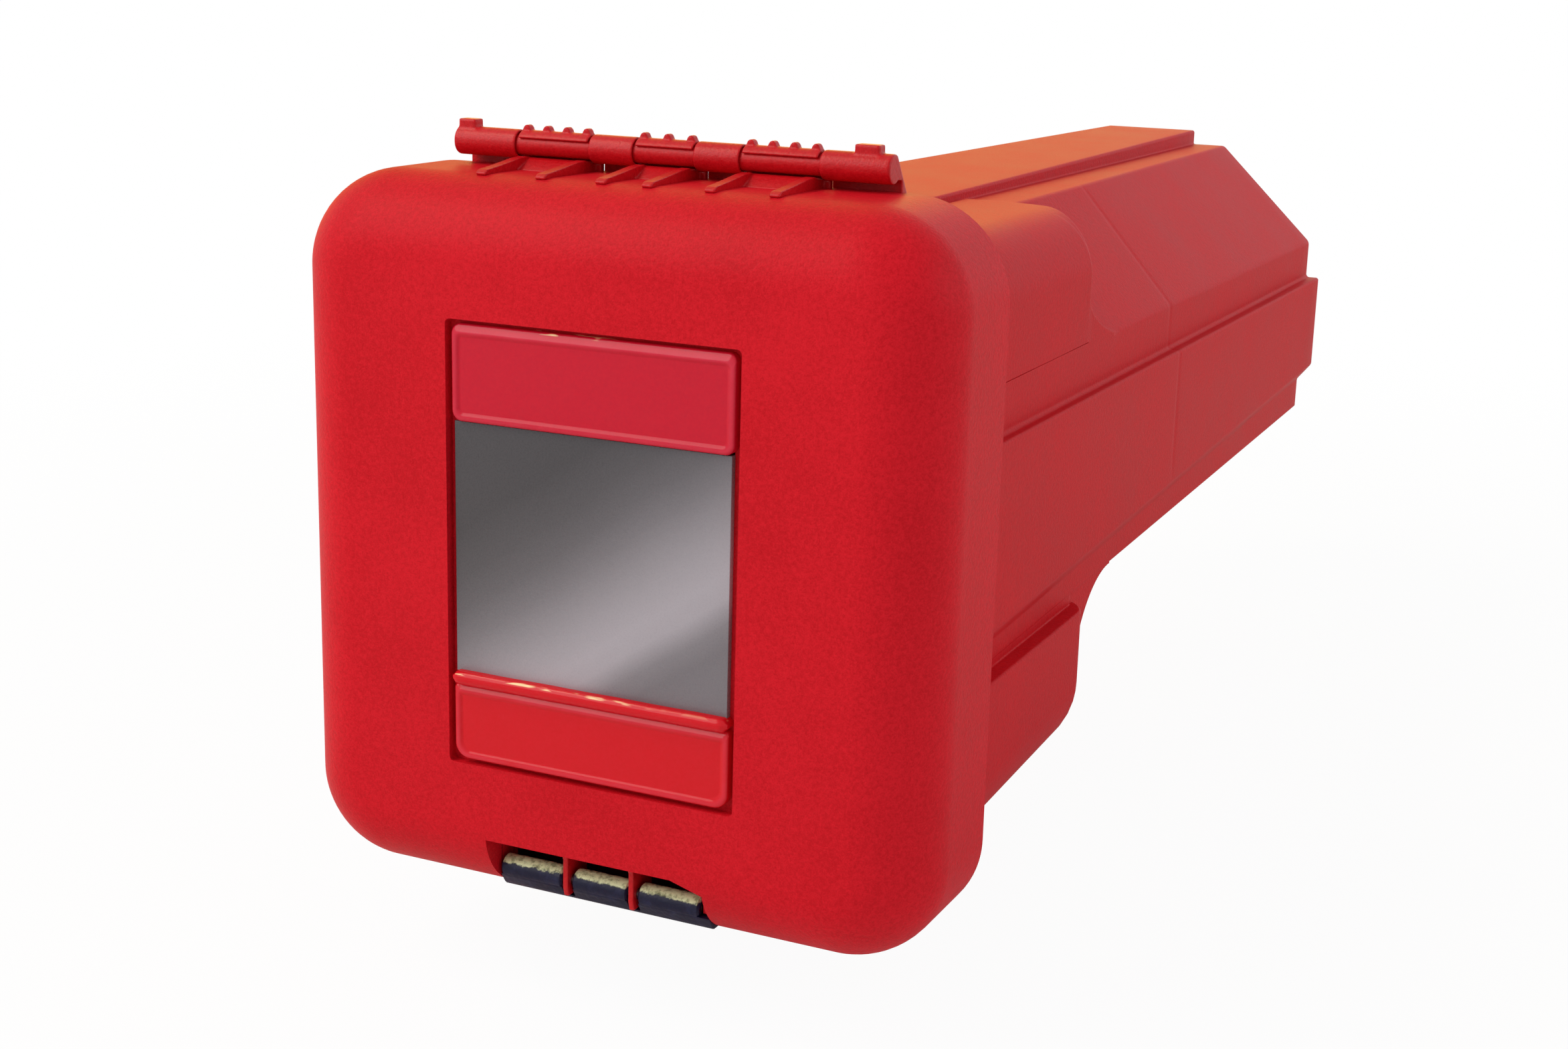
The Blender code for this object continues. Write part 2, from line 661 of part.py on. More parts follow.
def bulge_limit(side):
    """Prism across the chamfer, whose outline is the back edge of the corner."""
    edge = bezier(BULGE_UPPER_EDGE, 8) + bezier(BULGE_LOWER_EDGE, 8)[1:]
    near = SHELL_FRONT - OVERCUT
    low = BULGE_LOWER_EDGE[-1][0] + BULGE_MARGIN
    high = -3 * BULGE_MARGIN
    outline = [(high, near), (high, BULGE_Y)] + edge + [(low, BULGE_FOOT_Y), (low, near)]
    rings = []
    for offset in (-2 * BULGE_MARGIN, 2 * BULGE_MARGIN):
        ring = []
        for down, y in outline:
            s = section_at(y)
            start = Vector((s["shoulder_x"], s["shoulder_z"]))
            along = (Vector((s["side_x"], s["chamfer_z"])) - start).normalized()
            point = start + along * down + Vector((-along.y, along.x)) * offset
            ring.append((side * point.x, y, point.y))
        rings.append(ring)
    return loft(rings)


def block_outline(y, drawn, inset):
    """Deep front part under the trunk, drawn in where its back is rounded."""
    s = section_at(y)
    share = (y - BODY_FRONT) / (BLOCK_BACK - BODY_FRONT)
    half_width = s["rail_x"] - drawn - inset
    low = mix(BLOCK_FRONT_BOTTOM, BLOCK_BACK_BOTTOM, share) + drawn + inset
    top = BLOCK_TOP - inset
    riser = min(s["lower_x"] - FIT, s["rail_x"] - drawn - BLOCK_RISER / 2) - inset
    return rounded_polygon(mirrored([
        (riser, top + inset + BLOCK_RISER, 0.0),
        (riser, top, 0.0),
        (half_width, top, LEDGE_EDGE_RADIUS),
        (half_width, low, BLOCK_CORNER - drawn - inset / 2),
    ]), 4)


def block_rings(inset, front):
    """Straight to the rounded back, whose stations follow a quarter circle."""
    radius = BLOCK_BACK_RADIUS - inset
    straight = BLOCK_BACK - BLOCK_BACK_RADIUS
    rings = [ring_at(front, block_outline(max(front, BODY_FRONT), 0.0, inset))]
    for angle in (0, 20, 40, 60, 78):
        y = straight + radius * math.sin(math.radians(angle))
        drawn = radius * (1 - math.cos(math.radians(angle)))
        rings.append(ring_at(y, block_outline(y, drawn, inset)))
    return rings


def web_profile(grow):
    """Hollow curve between the block's back and the trunk's underside."""
    centre_y = BLOCK_BACK + WEB_RADIUS
    centre_z = section_at(centre_y)["bottom_z"] - WEB_RADIUS
    curve = arc((centre_y, centre_z), WEB_RADIUS + grow, 90, 180, 10)
    inner_y = BLOCK_BACK - BLOCK_BACK_RADIUS
    inner_z = BLOCK_TOP + BLOCK_RISER + grow
    return curve + [(inner_y, centre_z), (inner_y, inner_z), (centre_y, inner_z)]


def build_body(frame):
    trunk_rings = [
        ring_at(SHELL_FRONT, trunk_outline(SHELL_FRONT)),
        ring_at(CREASE_Y, trunk_outline(CREASE_Y, CREASE_RISE)),
        ring_at(BODY_BACK, trunk_outline(BODY_BACK)),
    ]
    body = make_object("body_shell", loft(trunk_rings), RED, frame)
    for name, side in (("left", -1), ("right", 1)):
        stations = (SHELL_FRONT, CREASE_Y)
        bulge = make_helper(f"bulge_{name}", loft([ring_at(y, bulge_outline(y, side)) for y in stations]), frame)
        combine(bulge, make_helper(f"bulge_limit_{name}", bulge_limit(side), frame), "INTERSECT")
        combine(body, bulge, "UNION")
    combine(body, make_helper("block", loft(block_rings(0.0, SHELL_FRONT)), frame), "UNION")
    half = section_at(BLOCK_BACK + WEB_RADIUS)["lower_x"] - WEB_INSET
    combine(body, make_helper("web", prism_x(web_profile(0.0), (-half, half)), frame), "UNION")

    front = SHELL_FRONT - OVERCUT
    trunk_cavity = loft([
        ring_at(front, trunk_cavity_outline(front)),
        ring_at(BODY_BACK - BODY_WALL, trunk_cavity_outline(BODY_BACK - BODY_WALL)),
    ])
    combine(body, make_helper("trunk_cavity", trunk_cavity, frame), "DIFFERENCE")
    block_cavity = loft(block_rings(BODY_WALL, front))
    combine(body, make_helper("block_cavity", block_cavity, frame), "DIFFERENCE")
    half -= BODY_WALL
    web_cavity = prism_x(web_profile(BODY_WALL + FIT), (-half, half))
    combine(body, make_helper("web_cavity", web_cavity, frame), "DIFFERENCE")
    for name, side in (("left", -1), ("right", 1)):
        stations = (front, BULGE_SIDE_Y - BODY_WALL)
        hollow = loft([ring_at(y, bulge_outline(y, side, BODY_WALL)) for y in stations])
        combine(body, make_helper(f"bulge_cavity_{name}", hollow, frame), "DIFFERENCE")


def build_mouth_flange(frame):
    """Frame round the body's mouth, hidden behind the lid's rim, that carries the hinge."""
    y_range = (BODY_FRONT, BODY_FRONT + FLANGE_DEPTH)
    outline = rounded_rectangle(
        LID_HALF_WIDTH - FLANGE_STEP, LID_BOTTOM + FLANGE_STEP, FLANGE_TOP, LID_CORNER - FLANGE_STEP, 6
    )
    flange = make_object("mouth_flange", prism_y(outline, y_range), RED, frame)
    mouth_half = MOUTH_SECTION["side_x"] - BODY_WALL
    mouth = rounded_polygon(mirrored([
        (mouth_half, MOUTH_SECTION["shoulder_z"] - BODY_WALL, BULGE_RADIUS - BODY_WALL),
        (mouth_half, BLOCK_FRONT_BOTTOM + 2 * BODY_WALL, BLOCK_CORNER - BODY_WALL),
    ]), 4)
    cut = prism_y(mouth, (y_range[0] - OVERCUT, y_range[1] + OVERCUT))
    combine(flange, make_helper("mouth_cut", cut, frame), "DIFFERENCE")


clear_scene()
HELPER = make_material("helper", (0.5, 0.5, 0.5), 0.5)
RED = make_material("red_plastic", (0.55, 0.012, 0.02), 0.45)
GLOSSY = make_material("crimson_gloss", (0.42, 0.008, 0.03), 0.12)
SMOKED = make_material("smoked_window", (0.10, 0.11, 0.11), 0.08, alpha=0.6)
BLACK = make_material("black_rubber", (0.015, 0.015, 0.02), 0.3)
STEEL = make_material("plated_steel", (0.45, 0.45, 0.46), 0.35, metallic=1.0)

datum = make_empty("datum", (0.0, -MOUNT_Y, -STRIP_TOP))
LID_PIVOT = (0.0, HINGE_Y, HINGE_Z)
LATCH_PIVOT = (0.0, LATCH_Y, LATCH_Z)
lid_axis = make_empty("lid_hinge_axis", LID_PIVOT, datum)
latch_axis = make_empty("latch_axis", [a - b for a, b in zip(LATCH_PIVOT, LID_PIVOT)], lid_axis)
BASE_FRAME = (datum, (0.0, 0.0, 0.0))
LID_FRAME = (lid_axis, LID_PIVOT)
LATCH_FRAME = (latch_axis, LATCH_PIVOT)

build_body(BASE_FRAME)
build_mouth_flange(BASE_FRAME)
build_hinge(BASE_FRAME, LID_FRAME)
build_lid_shell(LID_FRAME)
build_recess_insert(LID_FRAME)
build_latch(LID_FRAME, LATCH_FRAME)
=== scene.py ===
import json
import math

import bmesh
import bpy
import numpy as np
from mathutils import Matrix, Vector

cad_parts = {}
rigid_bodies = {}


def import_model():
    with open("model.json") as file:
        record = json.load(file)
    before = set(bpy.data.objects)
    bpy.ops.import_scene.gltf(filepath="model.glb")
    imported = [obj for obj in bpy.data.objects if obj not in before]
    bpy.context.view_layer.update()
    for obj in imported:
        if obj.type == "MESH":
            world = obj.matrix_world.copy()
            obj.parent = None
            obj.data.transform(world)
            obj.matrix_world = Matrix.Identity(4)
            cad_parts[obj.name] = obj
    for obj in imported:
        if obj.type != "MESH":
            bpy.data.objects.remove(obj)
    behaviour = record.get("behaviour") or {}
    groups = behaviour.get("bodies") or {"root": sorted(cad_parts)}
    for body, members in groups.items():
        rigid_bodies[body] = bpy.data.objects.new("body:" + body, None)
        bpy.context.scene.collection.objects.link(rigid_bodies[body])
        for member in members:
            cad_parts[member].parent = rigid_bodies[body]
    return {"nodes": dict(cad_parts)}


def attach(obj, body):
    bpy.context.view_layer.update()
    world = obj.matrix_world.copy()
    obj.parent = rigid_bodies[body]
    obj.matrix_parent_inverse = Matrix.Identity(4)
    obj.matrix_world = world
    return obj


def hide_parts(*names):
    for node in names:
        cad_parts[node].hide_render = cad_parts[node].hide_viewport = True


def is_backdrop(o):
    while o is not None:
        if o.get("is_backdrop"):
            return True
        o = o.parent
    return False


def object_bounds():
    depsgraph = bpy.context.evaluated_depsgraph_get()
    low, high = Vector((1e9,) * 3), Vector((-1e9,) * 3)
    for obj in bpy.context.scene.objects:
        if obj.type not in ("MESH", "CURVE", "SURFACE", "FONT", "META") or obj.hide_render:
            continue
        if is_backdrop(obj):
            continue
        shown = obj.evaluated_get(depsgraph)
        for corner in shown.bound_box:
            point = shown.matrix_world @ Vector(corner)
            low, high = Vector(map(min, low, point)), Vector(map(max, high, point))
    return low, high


for leftover in list(bpy.data.objects):
    bpy.data.objects.remove(leftover, do_unlink=True)
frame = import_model()
cad_low, cad_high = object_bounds()
cad = frame["nodes"]

# Body: one rotation-moulded polyethylene shell that tapers to the back, with a bolting strip
# on top, a stepped rail on each side and a deep front part. Its skin is drawn in millimetres,
# with the lid's front on Y = 0 and the label recess centred on X = Z = 0.
TRUNK_START = 65.3
TRUNK_FRONT = 72.6
TRUNK_BACK = 700.0
STRIP_TOP = 118.0
TRUNK_AT_MOUTH = {
    "strip_x": 46.0, "shoulder_x": 70.0, "shoulder_z": 115.0, "side_x": 112.2, "chamfer_z": 58.6,
    "rail_x": 117.4, "rail_top": 38.3, "rail_low": -40.2,
    "lower_x": 110.0, "lower_z": -50.0, "bottom_z": -59.0,
}
TRUNK_AT_TAIL = {
    "strip_x": 27.7, "shoulder_x": 46.9, "shoulder_z": 109.6, "side_x": 104.0, "chamfer_z": 54.8,
    "rail_x": 111.6, "rail_top": 33.2, "rail_low": -20.4,
    "lower_x": 103.6, "lower_z": -30.4, "bottom_z": -48.3,
}
BODY_WALL = 4.0
CREASE_Y = 377.0
CREASE_RISE = 0.8
CREASE_GROOVE = 0.25
CREASE_SPREAD = 2.6
STRAIGHT_Y = CREASE_Y - 10.0
TAIL_ROUND = 1.6
BOX_TOP_RISE = 1.2
BOX_SIDE_RISE = 0.35
BOX_RADIUS = 28.0
# Distance down the chamfer in millimetres, and the tilt in degrees of the way out from there.
BOX_TILT = [(-14.0, 0.5), (-2.0, 20.0), (8.0, 30.0), (66.0, 75.0), (76.0, 86.0), (88.0, 89.5)]
BOX_BACK = 262.0
BOX_SIDE_BACK = 241.0
BOX_SIDE_EASE = 0.6
BOX_BACK_EDGE = [
    [(0.0, 262.0), (14.0, 262.0), (14.0, 245.0), (55.0, 241.0)],
    [(55.0, 241.0), (60.0, 241.0), (67.0, 252.0), (73.5, 283.0)],
]
BOX_EDGE_ROUND = 1.5
BOX_FOOT_ROUND = 8.0
# How strongly each ring takes the painted highlight, on the box corner's back edge and on the foot below
# it.
EDGE_HIGHLIGHT = (0.1, 0.5, 0.6, 0.15)
FOOT_HIGHLIGHT = (0.0, 0.2, 0.6, 0.6, 0.0)
SEAM_Z = 59.0
SEAM_EASE = 0.3
SEAM_LOW = 58.75
SEAM_HIGH = 59.2
SEAM_DEEP = 0.25
BLOCK_BACK = 252.0
BLOCK_TOP = -60.2
BLOCK_LOW_FRONT = -137.0
BLOCK_LOW_BACK = -129.4
BLOCK_CORNER = 36.0
BLOCK_ROUND = 20.0
BLOCK_RISER = 10.0
WEB_RADIUS = 50.0
WEB_INSET = 0.05
OVERCUT = 5.0
OVERLAP = 0.3
DATUM = Vector((0.0, -0.38265, -0.118))


def ease(value, start, end):
    """Smooth step from 0 at start to 1 at end."""
    share = np.clip((value - start) / (end - start), 0.0, 1.0)
    return share * share * (3.0 - 2.0 * share)


def corner_path(start, corners, end):
    """X-Z points from start to end round (x, z, radius, arc steps, edge divisions) corners."""
    path = [Vector(start)]
    knots = [Vector(start)] + [Vector(c[:2]) for c in corners] + [Vector(end)]
    for i, (x, z, radius, steps, divisions) in enumerate(corners):
        here = Vector((x, z))
        before = (knots[i] - here).normalized()
        after = (knots[i + 2] - here).normalized()
        half_angle = before.angle(after) / 2
        centre = here + (before + after).normalized() * radius / math.sin(half_angle)
        first = here + before * radius / math.tan(half_angle)
        last = here + after * radius / math.tan(half_angle)
        origin = path[-1].copy()
        path += [origin.lerp(first, step / divisions) for step in range(1, divisions + 1)]
        for step in range(1, steps + 1):
            arm = (first - centre).lerp(last - centre, step / steps).normalized() * radius
            path.append(centre + arm)
    origin = path[-1].copy()
    path += [origin.lerp(Vector(end), step / 6) for step in range(1, 7)]
    return np.array([tuple(p) for p in path])


def solid(name, rings):
    """Object skinned over closed rings of (x, y, z) millimetres, with both ends capped."""
    points = np.array(rings, dtype=float)
    count = points.shape[1]
    vertices = points.reshape(-1, 3) * 0.001 + np.array(DATUM)
    faces = []
    for r in range(len(points) - 1):
        low = r * count
        high = low + count
        for i in range(count):
            after = (i + 1) % count
            faces.append((low + i, low + after, high + after, high + i))
    faces.append(tuple(range(count))[::-1])
    faces.append(tuple(range(len(vertices) - count, len(vertices))))
    return from_faces(name, vertices, faces)


def from_faces(name, vertices, faces):
    mesh = bpy.data.meshes.new(name)
    mesh.from_pydata([tuple(v) for v in vertices], [], faces)
    builder = bmesh.new()
    builder.from_mesh(mesh)
    bmesh.ops.recalc_face_normals(builder, faces=builder.faces)
    builder.to_mesh(mesh)
    builder.free()
    piece = bpy.data.objects.new(name, mesh)
    bpy.context.scene.collection.objects.link(piece)
    return piece


def settle(piece):
    """Turns what a piece's modifiers give into its own mesh."""
    graph = bpy.context.evaluated_depsgraph_get()
    mesh = bpy.data.meshes.new_from_object(piece.evaluated_get(graph))
    mesh.name = piece.name
    piece.modifiers.clear()
    piece.data = mesh


def combine(piece, operation, tool):
    modifier = piece.modifiers.new("Combine", "BOOLEAN")
    modifier.operation = operation
    modifier.solver = "EXACT"
    modifier.object = tool
    settle(piece)
    bpy.data.objects.remove(tool, do_unlink=True)


def soften(piece, angle):
    piece.data.shade_smooth()
    piece.data.set_sharp_from_angle(angle=math.radians(angle))


def paint(piece, *materials):
    """Gives a piece these materials and no others."""
    piece.data.materials.clear()
    for material in materials:
        piece.data.materials.append(material)


def trunk_section(y):
    share = (y - TRUNK_START) / (TRUNK_BACK - TRUNK_START)
    return {key: low + (TRUNK_AT_TAIL[key] - low) * share for key, low in TRUNK_AT_MOUTH.items()}


def trunk_half(y, crease):
    """Right half of the trunk's outline at depth y, from the strip's middle to the underside's."""
    s = trunk_section(y)
    return corner_path((0.0, STRIP_TOP), [
        (s["strip_x"], STRIP_TOP, 1.6, 5, 6),
        (s["strip_x"], s["shoulder_z"], 0.9, 3, 1),
        (s["shoulder_x"] + crease, s["shoulder_z"], 4.0, 6, 12),
        (s["side_x"], s["chamfer_z"] + crease, 5.0, 10, 40),
        (s["side_x"], s["rail_top"], 2.0, 5, 16),
        (s["rail_x"], s["rail_top"], 1.5, 5, 1),
        (s["rail_x"], s["rail_low"], 4.0, 5, 6),
        (s["lower_x"], s["lower_z"], 3.0, 4, 1),
        (s["lower_x"], s["bottom_z"], 1.5, 6, 1),
    ], (0.0, s["bottom_z"]))


def trunk_points(y):
    """The trunk's half outline where each point has a depth y of its own."""
    ahead = np.clip((y - TRUNK_FRONT) / (CREASE_Y - TRUNK_FRONT), 0.0, 1.0)[:, None]
    behind = np.clip((y - CREASE_Y) / (TRUNK_BACK - CREASE_Y), 0.0, 1.0)[:, None]
    return MOUTH_HALF + (CREASE_HALF - MOUTH_HALF) * ahead + (TAIL_HALF - CREASE_HALF) * behind


def down_chamfer(points, s):
    """How far each X-Z point lies down the chamfer from the shoulder's corner."""
    run = np.stack([s["side_x"] - s["shoulder_x"], s["chamfer_z"] - s["shoulder_z"]], axis=1)
    offset = points - np.stack([s["shoulder_x"], s["shoulder_z"]], axis=1)
    return (offset * run).sum(1) / np.linalg.norm(run, axis=1)


def box_lift(y, trunk):
    """What takes each trunk point out to the round box corner of the front part."""
    s = trunk_section(y)
    proud = 1.0 - ease(y, BOX_SIDE_BACK - BOX_SIDE_EASE, BOX_SIDE_BACK + BOX_SIDE_EASE)
    proud *= ease(trunk[:, 1], SEAM_Z - SEAM_EASE, SEAM_Z)
    top = s["shoulder_z"] + BOX_TOP_RISE
    outer = s["side_x"] + BOX_SIDE_RISE * proud
    tilt = np.interp(down_chamfer(trunk, s), *np.array(BOX_TILT).T)
    way = np.stack([np.sin(np.radians(tilt)), np.cos(np.radians(tilt))], axis=1)
    reach = np.minimum((top - trunk[:, 1]) / way[:, 1], (outer - trunk[:, 0]) / way[:, 0])
    centre = np.stack([outer - BOX_RADIUS, top - BOX_RADIUS], axis=1)
    offset = trunk - centre
    middle = (way * offset).sum(1)
    to_arc = -middle + np.sqrt(np.maximum(middle**2 - (offset**2).sum(1) + BOX_RADIUS**2, 0.0))
    on_arc = (trunk + way * to_arc[:, None] > centre).all(axis=1)
    reach = np.where(on_arc, to_arc, reach)
    past_strip = ease(trunk[:, 0], s["strip_x"] + 0.4, s["strip_x"] + 2.0)
    covered = past_strip * (trunk[:, 1] > s["rail_top"] + 2.5)
    return way * (np.maximum(reach, 0.0) * covered)[:, None]


def skin_ring(station, kind, angle=0.0):
    """One ring of the body's skin. Rings bend so that one runs along the box corner's back edge."""
    if station > BOX_BACK:
        bend = max(STRAIGHT_Y - station, 0.0) / (STRAIGHT_Y - BOX_BACK)
    else:
        bend = (station - TRUNK_FRONT) / (BOX_BACK - TRUNK_FRONT)
    cosine, sine = math.cos(math.radians(angle)), math.sin(math.radians(angle))
    y = np.full(len(MOUTH_HALF), float(station))
    for _ in range(2):
        trunk = trunk_points(y)
        lift = box_lift(y, trunk)
        height = np.linalg.norm(lift, axis=1)
        edge_round = np.minimum(BOX_EDGE_ROUND, 0.25 * height)
        foot_round = np.minimum(BOX_FOOT_ROUND, 0.75 * height)
        back = np.interp(down_chamfer(trunk + lift, trunk_section(y)), BACK_EDGE[:, 0], BACK_EDGE[:, 1])
        y = station + (back - BOX_BACK) * bend
        if kind == "edge":
            y += edge_round * (sine - 1.0)
        elif kind == "foot":
            y += foot_round * (1.0 - cosine)
    if kind == "edge":
        kept = height - edge_round * (1.0 - cosine)
    elif kind == "foot":
        kept = foot_round * (1.0 - sine)
    else:
        kept = height if kind == "box" else 0.0 * height
    half = trunk + lift * (kept / np.maximum(height, 1e-6))[:, None]
    tangent = np.gradient(half, axis=0)
    tangent /= np.linalg.norm(tangent, axis=1)[:, None]
    normal = np.stack([-tangent[:, 1], tangent[:, 0]], axis=1)
    s = trunk_section(y)
    creased = ease(half[:, 0], s["shoulder_x"] - 4.0, s["shoulder_x"] + 8.0) * (kind == "trunk")
    creased *= half[:, 1] > s["rail_low"] + 2.0
    raised = -CREASE_GROOVE * creased * np.exp(-(((y - CREASE_Y) / CREASE_SPREAD) ** 2))
    overrun = max(station - (TRUNK_BACK - TAIL_ROUND), 0.0)
    raised -= TAIL_ROUND - math.sqrt(max(TAIL_ROUND**2 - overrun**2, 0.0))
    half = half + normal * raised[:, None]
    right = [(x, depth, z) for (x, z), depth in zip(half, y)]
    return right + [(-x, depth, z) for x, depth, z in right[-2:0:-1]]


def bezier(controls, steps):
    u = np.linspace(0.0, 1.0, steps)[:, None]
    a, b, c, d = (np.array(p) for p in controls)
    return (1 - u) ** 3 * a + 3 * u * (1 - u) ** 2 * b + 3 * u**2 * (1 - u) * c + u**3 * d


MOUTH_HALF = trunk_half(TRUNK_FRONT, 0.0)
CREASE_HALF = trunk_half(CREASE_Y, CREASE_RISE)
TAIL_HALF = trunk_half(TRUNK_BACK, 0.0)
swept = [bezier(controls, 33) for controls in BOX_BACK_EDGE]
BACK_EDGE = np.vstack([[(-80.0, BOX_BACK)], *swept, [(100.0, BOX_BACK)]])
box_depths = np.concatenate([np.linspace(TRUNK_FRONT, 214.0, 14), np.linspace(215.0, 259.0, 45)])
rings = [skin_ring(y, "box") for y in box_depths]
rings += [skin_ring(BOX_BACK, "edge", angle) for angle in (0.0, 30.0, 60.0, 90.0)]
rings += [skin_ring(BOX_BACK, "foot", angle) for angle in (0.0, 22.0, 45.0, 68.0, 90.0)]
rings += [skin_ring(y, "trunk") for y in np.concatenate([
    np.linspace(BOX_BACK + 10.0, STRAIGHT_Y, 24),
    np.linspace(CREASE_Y - 5.0, CREASE_Y + 5.0, 11),
    np.linspace(CREASE_Y + 15.0, TRUNK_BACK - TAIL_ROUND, 20),
    TRUNK_BACK - TAIL_ROUND + TAIL_ROUND * np.sin(np.radians([25.0, 50.0, 70.0, 90.0])),
])]
# Painted highlight: a pale tint stored per point along the box corner's back edge and its foot, where light
# catches the round.
rubbed = np.zeros((len(rings), len(rings[0])))
for i, share in enumerate(EDGE_HIGHLIGHT + FOOT_HIGHLIGHT, start=len(box_depths)):
    x, y, z = np.array(rings[i]).T
    down = down_chamfer(np.stack([abs(x), z], axis=1), trunk_section(y))
    rubbed[i] = share * ease(down, 3.0, 12.0) * (1.0 - ease(down, 70.0, 80.0))
moulded_body = solid("moulded_body", rings)
moulded_body.data.attributes.new("rubbed", "FLOAT", "POINT").data.foreach_set("value", rubbed.ravel())


def rounded_outline(half_corners, steps):
    """Closed X-Z outline from the right half's (x, z, radius) corners, mirrored about X = 0."""
    corners = half_corners + [(-x, z, r) for x, z, r in reversed(half_corners)]
    points = []
    for i, (x, z, radius) in enumerate(corners):
        here = Vector((x, z))
        before = (Vector(corners[i - 1][:2]) - here).normalized()
        after = (Vector(corners[(i + 1) % len(corners)][:2]) - here).normalized()
        half_angle = before.angle(after) / 2
        centre = here + (before + after).normalized() * radius / math.sin(half_angle)
        first = here + before * radius / math.tan(half_angle) - centre
        last = here + after * radius / math.tan(half_angle) - centre
        for step in range(steps + 1):
            arm = first.lerp(last, step / steps)
            arm = arm.normalized() * radius if radius else arm
            points.append((centre.x + arm.x, centre.y + arm.y))
    return points


def block_outline(y, drawn, inset):
    """The deep front part under the trunk, with its ledge on top."""
    s = trunk_section(y)
    share = (y - TRUNK_START) / (BLOCK_BACK - TRUNK_START)
    half_width = s["rail_x"] - drawn - inset
    low = BLOCK_LOW_FRONT + (BLOCK_LOW_BACK - BLOCK_LOW_FRONT) * share + drawn + inset
    riser = min(s["lower_x"] - 0.3, s["rail_x"] - drawn - BLOCK_RISER / 2) - inset
    return rounded_outline([
        (riser, BLOCK_TOP + BLOCK_RISER, 0.5),
        (riser, BLOCK_TOP - inset, 0.8),
        (half_width, BLOCK_TOP - inset, 1.5),
        (half_width, low, BLOCK_CORNER - drawn - inset / 2),
    ], 10)


def block_rings(inset, front):
    radius = BLOCK_ROUND - inset
    straight = BLOCK_BACK - BLOCK_ROUND
    rings = [[(x, front, z) for x, z in block_outline(max(front, TRUNK_START), 0.0, inset)]]
    for angle in range(0, 84, 6):
        y = straight + radius * math.sin(math.radians(angle))
        outline = block_outline(y, radius * (1 - math.cos(math.radians(angle))), inset)
        rings.append([(x, y, z) for x, z in outline])
    return rings


def web_rings(grow, half_width):
    """Hollow curve between the block's back and the trunk's underside, pushed along X."""
    centre_y = BLOCK_BACK + WEB_RADIUS
    centre_z = trunk_section(centre_y)["bottom_z"] - WEB_RADIUS
    turn = np.radians(np.linspace(90.0, 180.0, 31))
    reach = WEB_RADIUS + grow
    curve = [(centre_y + reach * math.cos(a), centre_z + reach * math.sin(a)) for a in turn]
    inner_y = BLOCK_BACK - BLOCK_ROUND
    inner_z = BLOCK_TOP + BLOCK_RISER + grow
    profile = curve + [(inner_y, centre_z), (inner_y, inner_z), (centre_y, inner_z)]
    return [[(x, y, z) for y, z in profile] for x in (-half_width, half_width)]


def cavity_ring(y, depth):
    """The trunk's inside at depth y, one wall in from its skin."""
    s = trunk_section(depth)
    outline = rounded_outline([
        (s["shoulder_x"] - BODY_WALL / 2, s["shoulder_z"] - BODY_WALL, 6.0),
        (s["side_x"] - BODY_WALL, s["chamfer_z"] - BODY_WALL / 2, 10.0),
        (s["side_x"] - BODY_WALL, s["rail_top"] - BODY_WALL, 0.5),
        (s["rail_x"] - BODY_WALL, s["rail_top"] - BODY_WALL, 0.5),
        (s["rail_x"] - BODY_WALL, s["rail_low"] + BODY_WALL / 2, 0.5),
        (s["lower_x"] - BODY_WALL, s["lower_z"], 0.5),
        (s["lower_x"] - BODY_WALL, s["bottom_z"] + BODY_WALL, 2.0),
    ], 4)
    return [(x, y, z) for x, z in outline]


def box_hollow_ring(y):
    """The inside of the box-shaped front part above the side's upper edge."""
    s = trunk_section(y)
    half_width = s["side_x"] + BOX_SIDE_RISE - BODY_WALL
    outline = rounded_outline([
        (half_width, s["shoulder_z"] + BOX_TOP_RISE - BODY_WALL, BOX_RADIUS - BODY_WALL),
        (half_width, s["chamfer_z"] - 5.0, 0.5),
    ], 10)
    return [(x, y, z) for x, z in outline]


combine(moulded_body, "UNION", solid("block", block_rings(0.0, TRUNK_FRONT)))
web_half = trunk_section(BLOCK_BACK + WEB_RADIUS)["lower_x"] - WEB_INSET
combine(moulded_body, "UNION", solid("web", web_rings(0.0, web_half)))
hollow_front = TRUNK_FRONT - OVERCUT
hollow = solid("hollow", [
    cavity_ring(hollow_front, hollow_front),
    cavity_ring(TRUNK_BACK - BODY_WALL, TRUNK_BACK - BODY_WALL),
])
box_hollow = [box_hollow_ring(y) for y in (hollow_front, BOX_SIDE_BACK - BODY_WALL)]
combine(hollow, "UNION", solid("box_hollow", box_hollow))
combine(hollow, "UNION", solid("block_hollow", block_rings(BODY_WALL, hollow_front)))
combine(hollow, "UNION", solid("web_hollow", web_rings(BODY_WALL, web_half - BODY_WALL)))
combine(moulded_body, "DIFFERENCE", hollow)
for side in (-1, 1):
    groove_rings = []
    for y in (TRUNK_FRONT - 1.0, BOX_SIDE_BACK):
        skin_x = float(trunk_section(y)["side_x"])
        deep, out = skin_x - SEAM_DEEP, skin_x + 3.0
        corners = ((deep, SEAM_LOW), (out, SEAM_LOW), (out, SEAM_HIGH), (deep, SEAM_HIGH))
        groove_rings.append([(side * x, y, z) for x, z in corners])
    combine(moulded_body, "DIFFERENCE", solid("seam_groove", groove_rings))
soften(moulded_body, 32)


